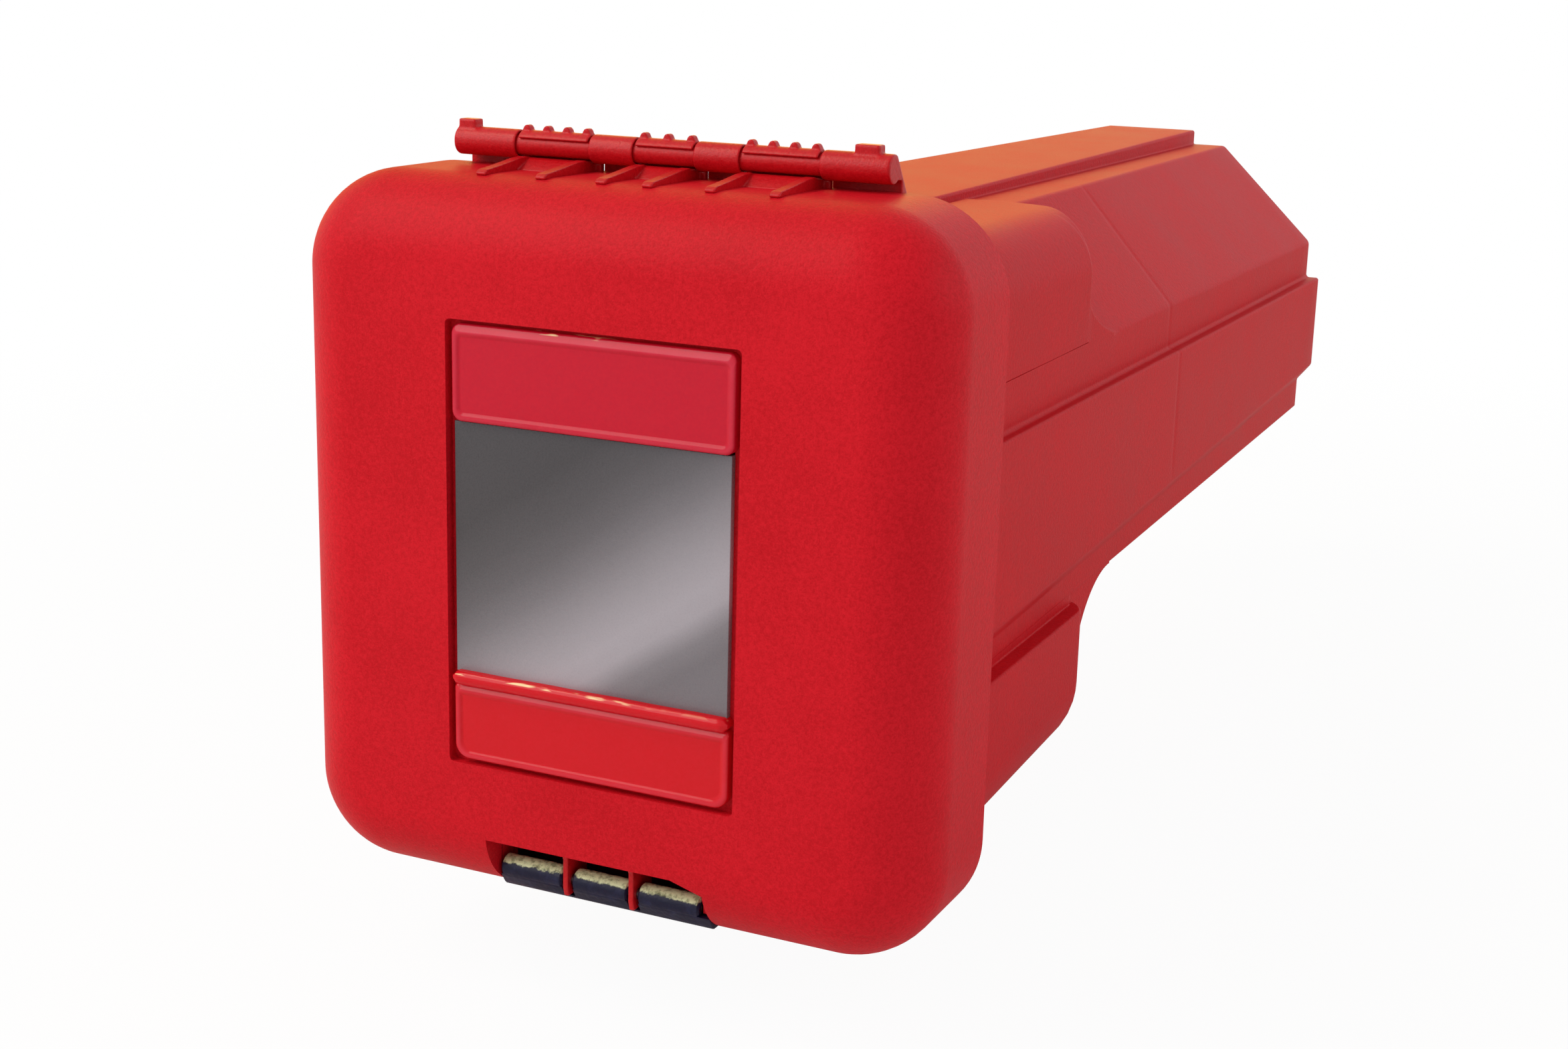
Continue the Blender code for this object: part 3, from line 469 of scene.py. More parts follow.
class Value:
    """A shader socket that adds a Math node for each operator used on it."""

    def __init__(self, tree, socket):
        self.tree = tree
        self.socket = socket

    def math(self, operation, first, second):
        node = self.tree.nodes.new("ShaderNodeMath")
        node.operation = operation
        for entry, value in zip(node.inputs, (first, second)):
            if isinstance(value, Value):
                self.tree.links.new(value.socket, entry)
            else:
                entry.default_value = value
        return Value(self.tree, node.outputs[0])

    def __add__(self, other):
        return self.math("ADD", self, other)

    def __radd__(self, other):
        return self.math("ADD", other, self)

    def __sub__(self, other):
        return self.math("SUBTRACT", self, other)

    def __rsub__(self, other):
        return self.math("SUBTRACT", other, self)

    def __mul__(self, other):
        return self.math("MULTIPLY", self, other)

    def __rmul__(self, other):
        return self.math("MULTIPLY", other, self)


class Graph:
    """A shader tree whose nodes come from one method."""

    def __init__(self, tree, coordinates):
        self.tree = tree
        self.place = self.node("ShaderNodeTexCoord", output=coordinates)

    def node(self, kind, settings=None, sockets=None, output=0):
        node = self.tree.nodes.new(kind)
        for key, value in (settings or {}).items():
            if key == "stops":
                ramp = node.color_ramp.elements
                while len(ramp) < len(value):
                    ramp.new(1.0)
                for element, (position, colour) in zip(ramp, value):
                    element.position = position
                    element.color = colour
            else:
                setattr(node, key, value)
        for key, value in (sockets or {}).items():
            self.join(value, node.inputs[key])
        return Value(self.tree, node.outputs[output])

    def join(self, value, entry):
        if isinstance(value, Value):
            self.tree.links.new(value.socket, entry)
        elif isinstance(value, (tuple, list)) and len(value) == 3 and entry.type == "RGBA":
            entry.default_value = (*value, 1.0)
        else:
            entry.default_value = value

    def axis(self, index):
        """One coordinate of the place: 0 across, 1 deep, 2 up."""
        return self.node("ShaderNodeSeparateXYZ", None, {0: self.place}, output=index)

    def either(self, first, second):
        return first.math("MAXIMUM", first, second)

    def noise(self, scale, detail=2.0, roughness=0.5, place=None):
        """Noise with its scale in features a metre, from 0 to 1."""
        return self.node(
            "ShaderNodeTexNoise", None,
            {"Vector": place or self.place, "Scale": scale, "Detail": detail, "Roughness": roughness},
        )

    def blend(self, factor, first, second):
        sockets = {0: factor, 6: first, 7: second}
        return self.node("ShaderNodeMix", {"data_type": "RGBA"}, sockets, output=2)

    def span(self, value, low, high, to_low=0.0, to_high=1.0):
        """Value mapped from low..high to to_low..to_high, held at the ends."""
        return self.node(
            "ShaderNodeMapRange", {"interpolation_type": "SMOOTHSTEP"},
            {"Value": value, "From Min": low, "From Max": high, "To Min": to_low, "To Max": to_high},
        )

    def bump(self, height, distance, strength=1.0, normal=None):
        sockets = {"Height": height, "Distance": distance, "Strength": strength}
        if normal is not None:
            sockets["Normal"] = normal
        return self.node("ShaderNodeBump", None, sockets)


class Finish(Graph):
    """A Principled material. Its constants go on the shader's own sockets."""

    def __init__(self, name, **constants):
        self.material = bpy.data.materials.new(name)
        self.material.use_nodes = True
        super().__init__(self.material.node_tree, "Object")
        self.shader = self.tree.nodes["Principled BSDF"]
        for socket, value in constants.items():
            self.shader.inputs[socket.replace("_", " ")].default_value = value

    def feed(self, **links):
        for socket, value in links.items():
            self.join(value, self.shader.inputs[socket.replace("_", " ")])


def moulded_red(name, deep, light, rough, grain, shine=0.07, painted_highlight=None):
    """Red polyethylene: fine sand grain from the mould, faint mottling and slight gloss changes, plus a
    painted highlight where its colour is given.
    """
    finish = Finish(name, Specular_IOR_Level=shine)
    sand = finish.noise(1500.0, 3.0, 0.62)
    speckle = finish.noise(620.0, 2.0, 0.6)
    cloud = finish.noise(22.0, 3.0, 0.55)
    tone = finish.span(sand * 0.45 + speckle * 0.35 + cloud * 0.2, 0.36, 0.64)
    colour = finish.blend(tone, deep, light)
    if painted_highlight:
        # Painted highlight: the colour turns pale pink where the mesh's attribute marks the lit edge of the
        # box corner.
        highlight_share = finish.node("ShaderNodeAttribute", {"attribute_name": "rubbed"}, output=2)
        colour = finish.blend(highlight_share * (0.22 + 0.4 * speckle), colour, painted_highlight)
    finish.feed(Base_Color=colour, Roughness=rough + 0.10 * cloud + 0.06 * speckle)
    coarse = finish.bump(speckle, 0.00016 * grain)
    finish.feed(Normal=finish.bump(sand, 0.00010 * grain, normal=coarse))
    return finish.material


body_red = moulded_red(
    "body_red", deep=(0.47, 0.004, 0.010), light=(0.60, 0.009, 0.017), rough=0.38, grain=1.0,
    painted_highlight=(0.80, 0.28, 0.26)
)
paint(moulded_body, body_red)
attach(moulded_body, "body")
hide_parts("body_shell")

# Mouth flange: the flat frame round the body's opening, moulded with the body. The lid's rim
# closes against it, so only the open lid shows it.
cad["mouth_flange"].material_slots[0].material = body_red

# Hinge knuckles: four barrels moulded on the flange, the outer two closed at the end and
# with a raised stop that ends the lid's swing. They hold the hinge rod.
HINGE_Y = 58.8
HINGE_Z = 145.7
BARREL = 5.5
ROD = 4.2
ROD_PLAY = 0.35
FLANGE_TOP = 134.0
FOOT_FRONT = 65.9
FOOT_BACK = 72.2
KNUCKLES = {
    "outer_left": (-91.5, -63.8), "inner_left": (-31.6, -12.9),
    "inner_right": (12.9, 31.6), "outer_right": (63.8, 91.5),
}
KNUCKLE_END = 3.0
STOPS = {"outer_left": (-90.7, -83.0), "outer_right": (76.6, 86.4)}
STOP_RISE = 2.9
STOP_DEPTH = 6.0


def arc(centre, radius, start, end, steps):
    """Y-Z points of a circle arc, with angles in degrees."""
    angles = [math.radians(start + (end - start) * i / steps) for i in range(steps + 1)]
    return [(centre[0] + radius * math.cos(a), centre[1] + radius * math.sin(a)) for a in angles]


def prism(name, profile, low, high):
    """A Y-Z profile pushed along X."""
    return solid(name, [[(x, y, z) for y, z in profile] for x in (low, high)])


def cylinder(name, centre, radius, low, high, sides=48):
    return prism(name, arc(centre, radius, 0.0, 360.0 * (sides - 1) / sides, sides - 1), low, high)


def box(name, x, y, z):
    return solid(name, [[(x[0], b, z[0]), (x[1], b, z[0]), (x[1], b, z[1]), (x[0], b, z[1])] for b in y])


def fuse(piece, others, voxel, rounds, keep):
    """Joins closed shapes into one moulded form, with its edges and inner corners rounded."""
    builder = bmesh.new()
    builder.from_mesh(piece.data)
    for other in others:
        builder.from_mesh(other.data)
        bpy.data.objects.remove(other, do_unlink=True)
    builder.to_mesh(piece.data)
    builder.free()
    remesh = piece.modifiers.new("Fuse", "REMESH")
    remesh.mode = "VOXEL"
    remesh.voxel_size = voxel
    smooth = piece.modifiers.new("Round", "SMOOTH")
    smooth.factor = 0.5
    smooth.iterations = rounds
    thin = piece.modifiers.new("Thin", "DECIMATE")
    thin.ratio = keep
    settle(piece)
    piece.data.shade_smooth()


hinge_red = moulded_red(
    "hinge_red", deep=(0.46, 0.003, 0.008), light=(0.58, 0.008, 0.014), rough=0.24, grain=0.7, shine=0.20
)
for where, (low, high) in KNUCKLES.items():
    sign = 1 if high > 0 else -1
    outer = where.startswith("outer")
    barrel = arc((HINGE_Y, HINGE_Z), BARREL, 60.0, 310.0, 48)
    foot = [
        (FOOT_FRONT, HINGE_Z - BARREL + 1.0), (FOOT_FRONT, FLANGE_TOP),
        (FOOT_BACK, FLANGE_TOP), (FOOT_BACK, FLANGE_TOP + 1.3),
    ]
    knuckle = prism(f"knuckle_{where}", barrel + foot, low, high)
    bore = [low - OVERCUT, high + OVERCUT]
    if outer:
        end = high if sign > 0 else low
        bore[1 if sign > 0 else 0] = end - sign * KNUCKLE_END
        stop_y = (HINGE_Y - STOP_DEPTH / 2, HINGE_Y + STOP_DEPTH / 2)
        stop_z = (HINGE_Z + 2.0, HINGE_Z + BARREL + STOP_RISE)
        combine(knuckle, "UNION", box("stop", STOPS[where], stop_y, stop_z))
    combine(knuckle, "DIFFERENCE", cylinder("bore", (HINGE_Y, HINGE_Z), ROD + ROD_PLAY, *bore))
    fuse(knuckle, [], voxel=0.00035, rounds=24 if outer else 8, keep=0.4)
    paint(knuckle, hinge_red)
    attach(knuckle, "body")
    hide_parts(f"hinge_knuckle_{where}")

# Hinge rod: the round bar that the lid's clips turn on, in the same red. It runs through all
# four barrels and ends inside the two closed ones.
rod_end = KNUCKLES["outer_right"][1] - KNUCKLE_END - 0.3
hinge_bar = cylinder("hinge_bar", (HINGE_Y, HINGE_Z), ROD, -rod_end, rod_end, 64)
soften(hinge_bar, 40)
paint(hinge_bar, hinge_red)
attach(hinge_bar, "body")
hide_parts("hinge_rod")

# Lid: one moulded shell with a broad round edge, a sunk field for the window and labels, and
# a pocket in its lower edge for the latch.
LID_HALF = 135.0
LID_TOP = 137.0
LID_LOW = -141.5
LID_DEPTH = 65.0
LID_CORNER = 38.0
LID_FILLET = 30.0
LID_WALL = 3.0
RECESS_HALF = 61.0
RECESS_HIGH = 86.25
RECESS_DEPTH = 4.5
RECESS_CORNER = 2.0
RECESS_LIP = 4.0
POCKET_RIGHT = 48.4
POCKET_LEFT = -45.2
CHEEK_X = 43.7
CHEEK_Y = 12.5
CHEEK_LOW = -132.6
CHEEK_DROP = 2.9
POCKET_TOP = -116.4
POCKET_DROP = 4.4
POCKET_RUN = 13.0
POCKET_BACK = 24.0
POCKET_WALL = 2.5
CHANNEL_RISE = 0.8
LATCH_Y = 14.0
LATCH_Z = -131.0
BEAD = 4.7


def lid_ring(y, inset, steps=20):
    rise = max(LID_FILLET - y, 0.0)
    drawn = LID_FILLET - math.sqrt(max(LID_FILLET**2 - rise**2, 0.0)) + inset
    outline = rounded_outline([
        (LID_HALF - drawn, LID_TOP - drawn, LID_CORNER - drawn),
        (LID_HALF - drawn, LID_LOW + drawn, LID_CORNER - drawn),
    ], steps)
    return [(x, y, z) for x, z in outline]


def bevel(piece, width, segments=3, angle=40):
    modifier = piece.modifiers.new("Edge", "BEVEL")
    modifier.width = width
    modifier.segments = segments
    modifier.limit_method = "ANGLE"
    modifier.angle_limit = math.radians(angle)
    modifier.use_clamp_overlap = True
    modifier.miter_outer = "MITER_ARC"
    settle(piece)


def weigh_normals(piece):
    modifier = piece.modifiers.new("Flat faces", "WEIGHTED_NORMAL")
    modifier.keep_sharp = True
    modifier.weight = 100


fillet_depths = [LID_FILLET * (1 - math.cos(math.radians(a))) for a in range(0, 91, 5)]
moulded_lid = solid("moulded_lid", [lid_ring(y, 0.0) for y in fillet_depths + [LID_DEPTH]])
hollow_depths = fillet_depths[3:] + [LID_DEPTH + OVERCUT]
lid_hollow = solid("lid_hollow", [lid_ring(max(y, LID_WALL), LID_WALL, 8) for y in hollow_depths])
collar_half = RECESS_HALF + LID_WALL
collar_high = RECESS_HIGH + LID_WALL
combine(lid_hollow, "DIFFERENCE", box(
    "collar", (-collar_half, collar_half), (-LID_WALL, RECESS_DEPTH + LID_WALL), (-collar_high, collar_high)
))
housing_half = POCKET_RIGHT + POCKET_WALL
housing_low = LID_LOW - LID_WALL
combine(lid_hollow, "DIFFERENCE", box(
    "housing", (-housing_half, housing_half), (-LID_WALL, POCKET_BACK + POCKET_WALL),
    (housing_low, POCKET_TOP + POCKET_WALL)
))
channel_top = LATCH_Z - BEAD + CHANNEL_RISE
combine(lid_hollow, "DIFFERENCE", box(
    "channel_wall", (-housing_half, housing_half), (POCKET_BACK - POCKET_WALL, LID_DEPTH + 2 * OVERCUT),
    (housing_low, channel_top + POCKET_WALL)
))
combine(moulded_lid, "DIFFERENCE", lid_hollow)
recess_outline = rounded_outline([
    (RECESS_HALF, RECESS_HIGH, RECESS_CORNER), (RECESS_HALF, -RECESS_HIGH, RECESS_CORNER)
], 10)
recess_rings = [[(x, y, z) for x, z in recess_outline] for y in (-OVERCUT, RECESS_DEPTH)]
combine(moulded_lid, "DIFFERENCE", solid("recess", recess_rings))
opening_half = RECESS_HALF - RECESS_LIP
opening_high = RECESS_HIGH - RECESS_LIP
combine(moulded_lid, "DIFFERENCE", box(
    "opening", (-opening_half, opening_half), (0.0, LID_FILLET), (-opening_high, opening_high)
))
cut_low = LID_LOW - OVERCUT
pocket_foot = [(POCKET_LEFT, cut_low), (POCKET_RIGHT, cut_low)]
pocket_cheek = [(POCKET_RIGHT, CHEEK_LOW), (CHEEK_X, CHEEK_LOW), (CHEEK_X, POCKET_TOP - CHEEK_DROP)]
pocket_corner = [(POCKET_RIGHT, POCKET_TOP - POCKET_DROP)]
pocket_top = [(POCKET_RIGHT - POCKET_RUN, POCKET_TOP), (POCKET_LEFT, POCKET_TOP)]
for outline, front, back in (
    (pocket_foot + pocket_corner + pocket_top, -OVERCUT, CHEEK_Y),
    (pocket_foot + pocket_cheek + pocket_top, CHEEK_Y - OVERLAP, POCKET_BACK),
):
    pocket_rings = [[(x, y, z) for x, z in outline] for y in (front, back)]
    combine(moulded_lid, "DIFFERENCE", solid("pocket", pocket_rings))
combine(moulded_lid, "DIFFERENCE", box(
    "channel", (POCKET_LEFT, POCKET_RIGHT), (POCKET_BACK - OVERLAP, LID_DEPTH + 3 * OVERCUT),
    (cut_low, channel_top)
))
bevel(moulded_lid, 0.0008)
soften(moulded_lid, 30)
weigh_normals(moulded_lid)
lid_red = moulded_red(
    "lid_red", deep=(0.50, 0.005, 0.012), light=(0.65, 0.010, 0.021), rough=0.36, grain=1.0, shine=0.085
)
# Painted shade: the deep faces of the latch pocket get a near-black material that stands in for the shade
# inside it.
pocket_shade_paint = Finish("pocket_shade_paint", Specular_IOR_Level=0.05, Roughness=0.8)
shade_grain = pocket_shade_paint.noise(700.0, 3.0, 0.6)
pocket_shade_paint.feed(Base_Color=pocket_shade_paint.blend(shade_grain, (0.006, 0.001, 0.001), (0.016, 0.003, 0.003)))
pocket_shade_paint.feed(Normal=pocket_shade_paint.bump(shade_grain, 0.0001))
paint(moulded_lid, lid_red, pocket_shade_paint.material)
for face in moulded_lid.data.polygons:
    x, y, z = (face.center - DATUM) * 1000.0
    within = POCKET_LEFT - 0.1 < x < CHEEK_X + 0.1 and LATCH_Z - 1.0 < z < POCKET_TOP + 0.1
    deep = CHEEK_Y - 2.0 < y < POCKET_BACK + 0.1
    face.material_index = int(within and deep and (x < 0.0 or abs(face.normal.x) < 0.5))
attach(moulded_lid, "lid")
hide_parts("lid_shell")

# Hinge arms: three clips that snap over the rod, moulded on the lid's top edge. Each has a row
# of small blunt teeth on its crest, a web behind and a blade at both ends.
ARMS = {"left": (-63.0, -32.4), "centre": (-12.1, 12.1), "right": (32.4, 63.0)}
CLIP_WALL = 1.0
LIP_ANGLE = 149.0
WEB_FRONT = 61.2
WEB_FOOT = LID_TOP - 0.5
WEB_OVERHANG = 2.3
CLAW = [
    (24.0, WEB_FOOT), (62.7, WEB_FOOT), (62.7, 140.0), (58.0, 140.6), (54.0, 141.5),
    (48.0, 141.2), (40.0, 140.2), (32.0, 139.3), (26.0, 138.7), (24.0, 137.6),
]
APRON = [
    (62.5, WEB_FOOT), (46.5, WEB_FOOT), (46.5, LID_TOP + 0.1),
    (54.0, 140.7), (57.0, 141.0), (62.5, 140.2),
]
BLADE_WIDTH = 4.2
BLADE_INSET = 0.4
TOOTH_LENGTH = 3.6
TOOTH_HIGH = 2.8
TOOTH_SUNK = 0.8
TOOTH_WIDTH = 3.6
TOOTH_SPACING = 9.0


def teeth_tree():
    """Geometry Nodes tree that sets blunt teeth in a row along X."""
    tree = bpy.data.node_groups.new("clip_teeth", "GeometryNodeTree")
    tree.interface.new_socket("Geometry", in_out="OUTPUT", socket_type="NodeSocketGeometry")
    for label, kind in (
        ("Count", "NodeSocketInt"), ("Spacing", "NodeSocketFloat"), ("First", "NodeSocketVector"),
        ("Length", "NodeSocketFloat"), ("Rise", "NodeSocketFloat"), ("Width", "NodeSocketFloat"),
        ("Material", "NodeSocketMaterial"),
    ):
        tree.interface.new_socket(label, in_out="INPUT", socket_type=kind)
    nodes = tree.nodes
    links = tree.links
    given = nodes.new("NodeGroupInput").outputs
    result = nodes.new("NodeGroupOutput").inputs
    step = nodes.new("ShaderNodeCombineXYZ")
    links.new(given["Spacing"], step.inputs["X"])
    row = nodes.new("GeometryNodeMeshLine")
    links.new(given["Count"], row.inputs["Count"])
    links.new(given["First"], row.inputs["Start Location"])
    links.new(step.outputs[0], row.inputs["Offset"])
    tooth = nodes.new("GeometryNodeMeshCylinder")
    tooth.inputs["Vertices"].default_value = 24
    tooth.inputs["Radius"].default_value = 1.0
    tooth.inputs["Depth"].default_value = 1.0
    lying = nodes.new("GeometryNodeTransform")
    lying.inputs["Rotation"].default_value = (math.pi / 2, 0.0, 0.0)
    links.new(tooth.outputs["Mesh"], lying.inputs["Geometry"])
    size = nodes.new("ShaderNodeCombineXYZ")
    links.new(given["Length"], size.inputs["X"])
    links.new(given["Width"], size.inputs["Y"])
    links.new(given["Rise"], size.inputs["Z"])
    placed = nodes.new("GeometryNodeInstanceOnPoints")
    links.new(row.outputs["Mesh"], placed.inputs["Points"])
    links.new(lying.outputs["Geometry"], placed.inputs["Instance"])
    links.new(size.outputs[0], placed.inputs["Scale"])
    real = nodes.new("GeometryNodeRealizeInstances")
    links.new(placed.outputs["Instances"], real.inputs["Geometry"])
    coloured = nodes.new("GeometryNodeSetMaterial")
    links.new(real.outputs["Geometry"], coloured.inputs["Geometry"])
    links.new(given["Material"], coloured.inputs["Material"])
    links.new(coloured.outputs["Geometry"], result["Geometry"])
    return tree


def grow(name, tree, **inputs):
    """Plain mesh object of what a Geometry Nodes tree makes with these inputs."""
    holder = bpy.data.objects.new(name, bpy.data.meshes.new(name))
    bpy.context.scene.collection.objects.link(holder)
    modifier = holder.modifiers.new(name, "NODES")
    modifier.node_group = tree
    for socket in tree.interface.items_tree:
        if socket.in_out == "INPUT" and socket.name in inputs:
            modifier[socket.identifier] = inputs[socket.name]
    settle(holder)
    return holder


def world_point(x, y, z):
    return Vector((x, y, z)) * 0.001 + DATUM


clip_teeth = teeth_tree()
for where, (low, high) in ARMS.items():
    clip_back = arc((HINGE_Y, HINGE_Z), BARREL, LIP_ANGLE, -35.0, 40)
    clip_front = arc((HINGE_Y, HINGE_Z), BARREL - CLIP_WALL, -35.0, LIP_ANGLE, 40)
    web = [(clip_back[-1][0], WEB_FOOT), (WEB_FRONT, WEB_FOOT), clip_front[0]]
    arm = prism(f"arm_{where}", clip_back + web + clip_front, low, high)
    parts = [box(
        "web_ends", (low - 0.5, high + WEB_OVERHANG), (WEB_FRONT - 0.2, WEB_FRONT + 2.4),
        (WEB_FOOT, HINGE_Z - BARREL - 0.1)
    )]
    parts.append(prism("apron", APRON, low + BLADE_INSET, high - BLADE_INSET))
    for start in (low + BLADE_INSET, high - BLADE_INSET - BLADE_WIDTH):
        parts.append(prism("claw", CLAW, start, start + BLADE_WIDTH))
    gaps = round((high - low - TOOTH_LENGTH) / TOOTH_SPACING)
    spacing = (high - low - TOOTH_LENGTH - 2 * BLADE_INSET) / gaps
    parts.append(grow(
        "teeth", clip_teeth, Count=gaps + 1, Spacing=spacing * 0.001,
        First=world_point(low + BLADE_INSET + TOOTH_LENGTH / 2, HINGE_Y, HINGE_Z + BARREL - TOOTH_SUNK),
        Length=TOOTH_LENGTH * 0.0005, Rise=TOOTH_HIGH * 0.001, Width=TOOTH_WIDTH * 0.001,
        Material=hinge_red,
    ))
    fuse(arm, parts, voxel=0.00033, rounds=6, keep=0.4)
    paint(arm, hinge_red)
    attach(arm, "lid")
    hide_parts(f"lid_hinge_arm_{where}")

# Window: a smoked plastic sheet glued over the opening of the sunk field, between the labels. Its
# colour carries a painted reflection of the room, one pale slanting streak with dark above it, and
# it has a few grains of dust.
SHEET_LEFT = -58.3
SHEET_RIGHT = 57.2
SHEET_TOP = 47.8
SHEET_LOW = -49.6
SHEET_FRONT = 1.8
SHEET_BACK = 4.45
SHEET_EDGE = [(SHEET_BACK - SHEET_FRONT, 0.0), (0.3, 0.0), (0.08, 0.08), (0.0, 0.3)]
REFLECTION_AT = -34.8
REFLECTION_SLOPE = 0.70
# Distance above the painted reflection streak's middle in millimetres, and how pale it paints the sheet
# there.
REFLECTION_STREAK = [
    (-32, 0.205), (-22, 0.19), (-15, 0.235), (-7, 0.40), (0, 0.41), (10, 0.345), (20, 0.262),
    (29, 0.182), (39, 0.120), (50, 0.082), (66, 0.053),
]
sheet_rings = []
for sunk, inset in SHEET_EDGE:
    y = SHEET_FRONT + sunk
    left, right = SHEET_LEFT + inset, SHEET_RIGHT - inset
    top, foot = SHEET_TOP - inset, SHEET_LOW + inset
    sheet_rings.append([(left, y, foot), (right, y, foot), (right, y, top), (left, y, top)])
window = solid("window_sheet", sheet_rings)
soften(window, 20)
smoked = Finish("smoked_sheet", Specular_IOR_Level=0.3)
cloud = smoked.noise(14.0, 2.0, 0.5)
# Painted reflection: a pale slanting streak painted into the colour, wavering with the cloud noise.
above = smoked.axis(2) - (DATUM.z + 0.001 * REFLECTION_AT) - smoked.axis(0) * REFLECTION_SLOPE
wavy = above * (1.0 / math.hypot(1.0, REFLECTION_SLOPE)) + (cloud - 0.5) * 0.008
low, high = REFLECTION_STREAK[0][0], REFLECTION_STREAK[-1][0]
place = smoked.node("ShaderNodeMapRange", None, {
    "Value": wavy, "From Min": 0.001 * low, "From Max": 0.001 * high
})
stops = [((d - low) / (high - low), (grey, grey * 0.95, grey * 1.06, 1.0)) for d, grey in REFLECTION_STREAK]
tone = smoked.node("ShaderNodeValToRGB", {"stops": stops}, {"Fac": place})
grain = smoked.noise(1300.0, 2.0, 0.6)
dust_and_reflection = smoked.blend(grain * 0.10, tone, (0.22, 0.21, 0.22))
smoked.feed(Base_Color=dust_and_reflection, Roughness=0.22 + 0.12 * grain)
smoked.feed(Normal=smoked.bump(grain, 0.00002))
paint(window, smoked.material)
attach(window, "lid")
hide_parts("window_panel")

# Labels: two soft clear-coated pads in crimson, glued in the sunk field. Each has a raised rim
# with a round edge; a glossy bar of the same plastic tops the lower one.
PAD_BACK = 4.45
PAD_FRONT = 0.3
PAD_DEEP = PAD_BACK - PAD_FRONT
PAD_HALF = 58.7
WINDOW_TOP = 48.0
WINDOW_LOW = -49.0
BAR_HIGH = 5.4
BAR_DEEP = 2.3
BAR_Y = 0.1
PADS = {
    "upper": {"low": WINDOW_TOP, "high": 84.6, "round_low": 4.0, "round_high": 3.4},
    "lower": {"low": -84.4, "high": WINDOW_LOW - BAR_HIGH + 0.4, "round_low": 6.0, "round_high": 2.0},
}
# Each ring of the rim: how far in from the edge and how deep, at the sides and at the top.
RIM = [
    ((0.0, PAD_DEEP), (0.0, PAD_DEEP)), ((0.0, 1.0), (0.0, 1.9)), ((0.15, 0.55), (0.25, 1.45)),
    ((0.4, 0.25), (0.6, 1.12)), ((0.75, 0.08), (1.4, 0.72)), ((1.15, 0.0), (2.6, 0.18)),
    ((1.7, 0.0), (3.1, 0.04)), ((2.2, 0.08), (3.5, 0.02)), ((2.6, 0.26), (3.9, 0.12)),
    ((3.0, 0.46), (4.3, 0.34)), ((3.4, 0.60), (4.7, 0.54)), ((3.8, 0.66), (5.1, 0.66)),
]
# How strongly each rim ring takes the painted highlight on its crest.
CREST_HIGHLIGHT = [0.0, 0.0, 0.0, 0.2, 0.7, 1.0, 1.0, 0.6, 0.2, 0.0, 0.0, 0.0]
# Painted glints: heights in millimetres of the bands on the bar's top and the upper pad's top edge.
GLINT_TOP = 83.5
GLINT_BAR = -50.3
GLINT_END = -49.5
GLINT_EDGE = 0.0004


def world_z(z):
    return DATUM.z + 0.001 * z


label_gloss = Finish("label_gloss", Specular_IOR_Level=0.05, Coat_Weight=0.28, Coat_Roughness=0.05)
ripple = label_gloss.noise(70.0, 2.0, 0.5)
fleck = label_gloss.noise(900.0, 2.0, 0.6)
stretched = label_gloss.node(
    "ShaderNodeVectorMath", {"operation": "MULTIPLY"}, {0: label_gloss.place, 1: (0.25, 1.0, 1.0)}
)
spot = label_gloss.span(label_gloss.noise(420.0, 1.0, 0.4, stretched), 0.52, 0.62)
across = label_gloss.axis(0)
upwards = label_gloss.axis(2)
on_upper = label_gloss.span(upwards, world_z(0.0), world_z(8.0))
crimson = label_gloss.blend(on_upper, (0.60, 0.005, 0.010), (0.50, 0.005, 0.026))
# Painted glints: thin streaks of pale yellow painted along the bar's top and a short stretch of the upper
# pad's top edge.
bar_low, bar_end, top_low = (world_z(z) for z in (GLINT_BAR, GLINT_END, GLINT_TOP))
near_bar = label_gloss.span(upwards, bar_low, bar_low + GLINT_EDGE)
near_bar = near_bar * label_gloss.span(across, 0.01, 0.03, 1.0, 0.15)
near_bar = near_bar * label_gloss.span(upwards, bar_end, bar_end + GLINT_EDGE, 1.0, 0.0)
near_top = label_gloss.span(upwards, top_low, top_low + GLINT_EDGE)
near_top = near_top * label_gloss.span(across, -0.026, -0.02)
near_top = near_top * label_gloss.span(across, 0.0, 0.012, 1.0, 0.0)
glint = (near_bar + near_top) * spot
mottling_and_highlight = label_gloss.blend(fleck, crimson, label_gloss.blend(0.5, crimson, (0.70, 0.012, 0.03)))
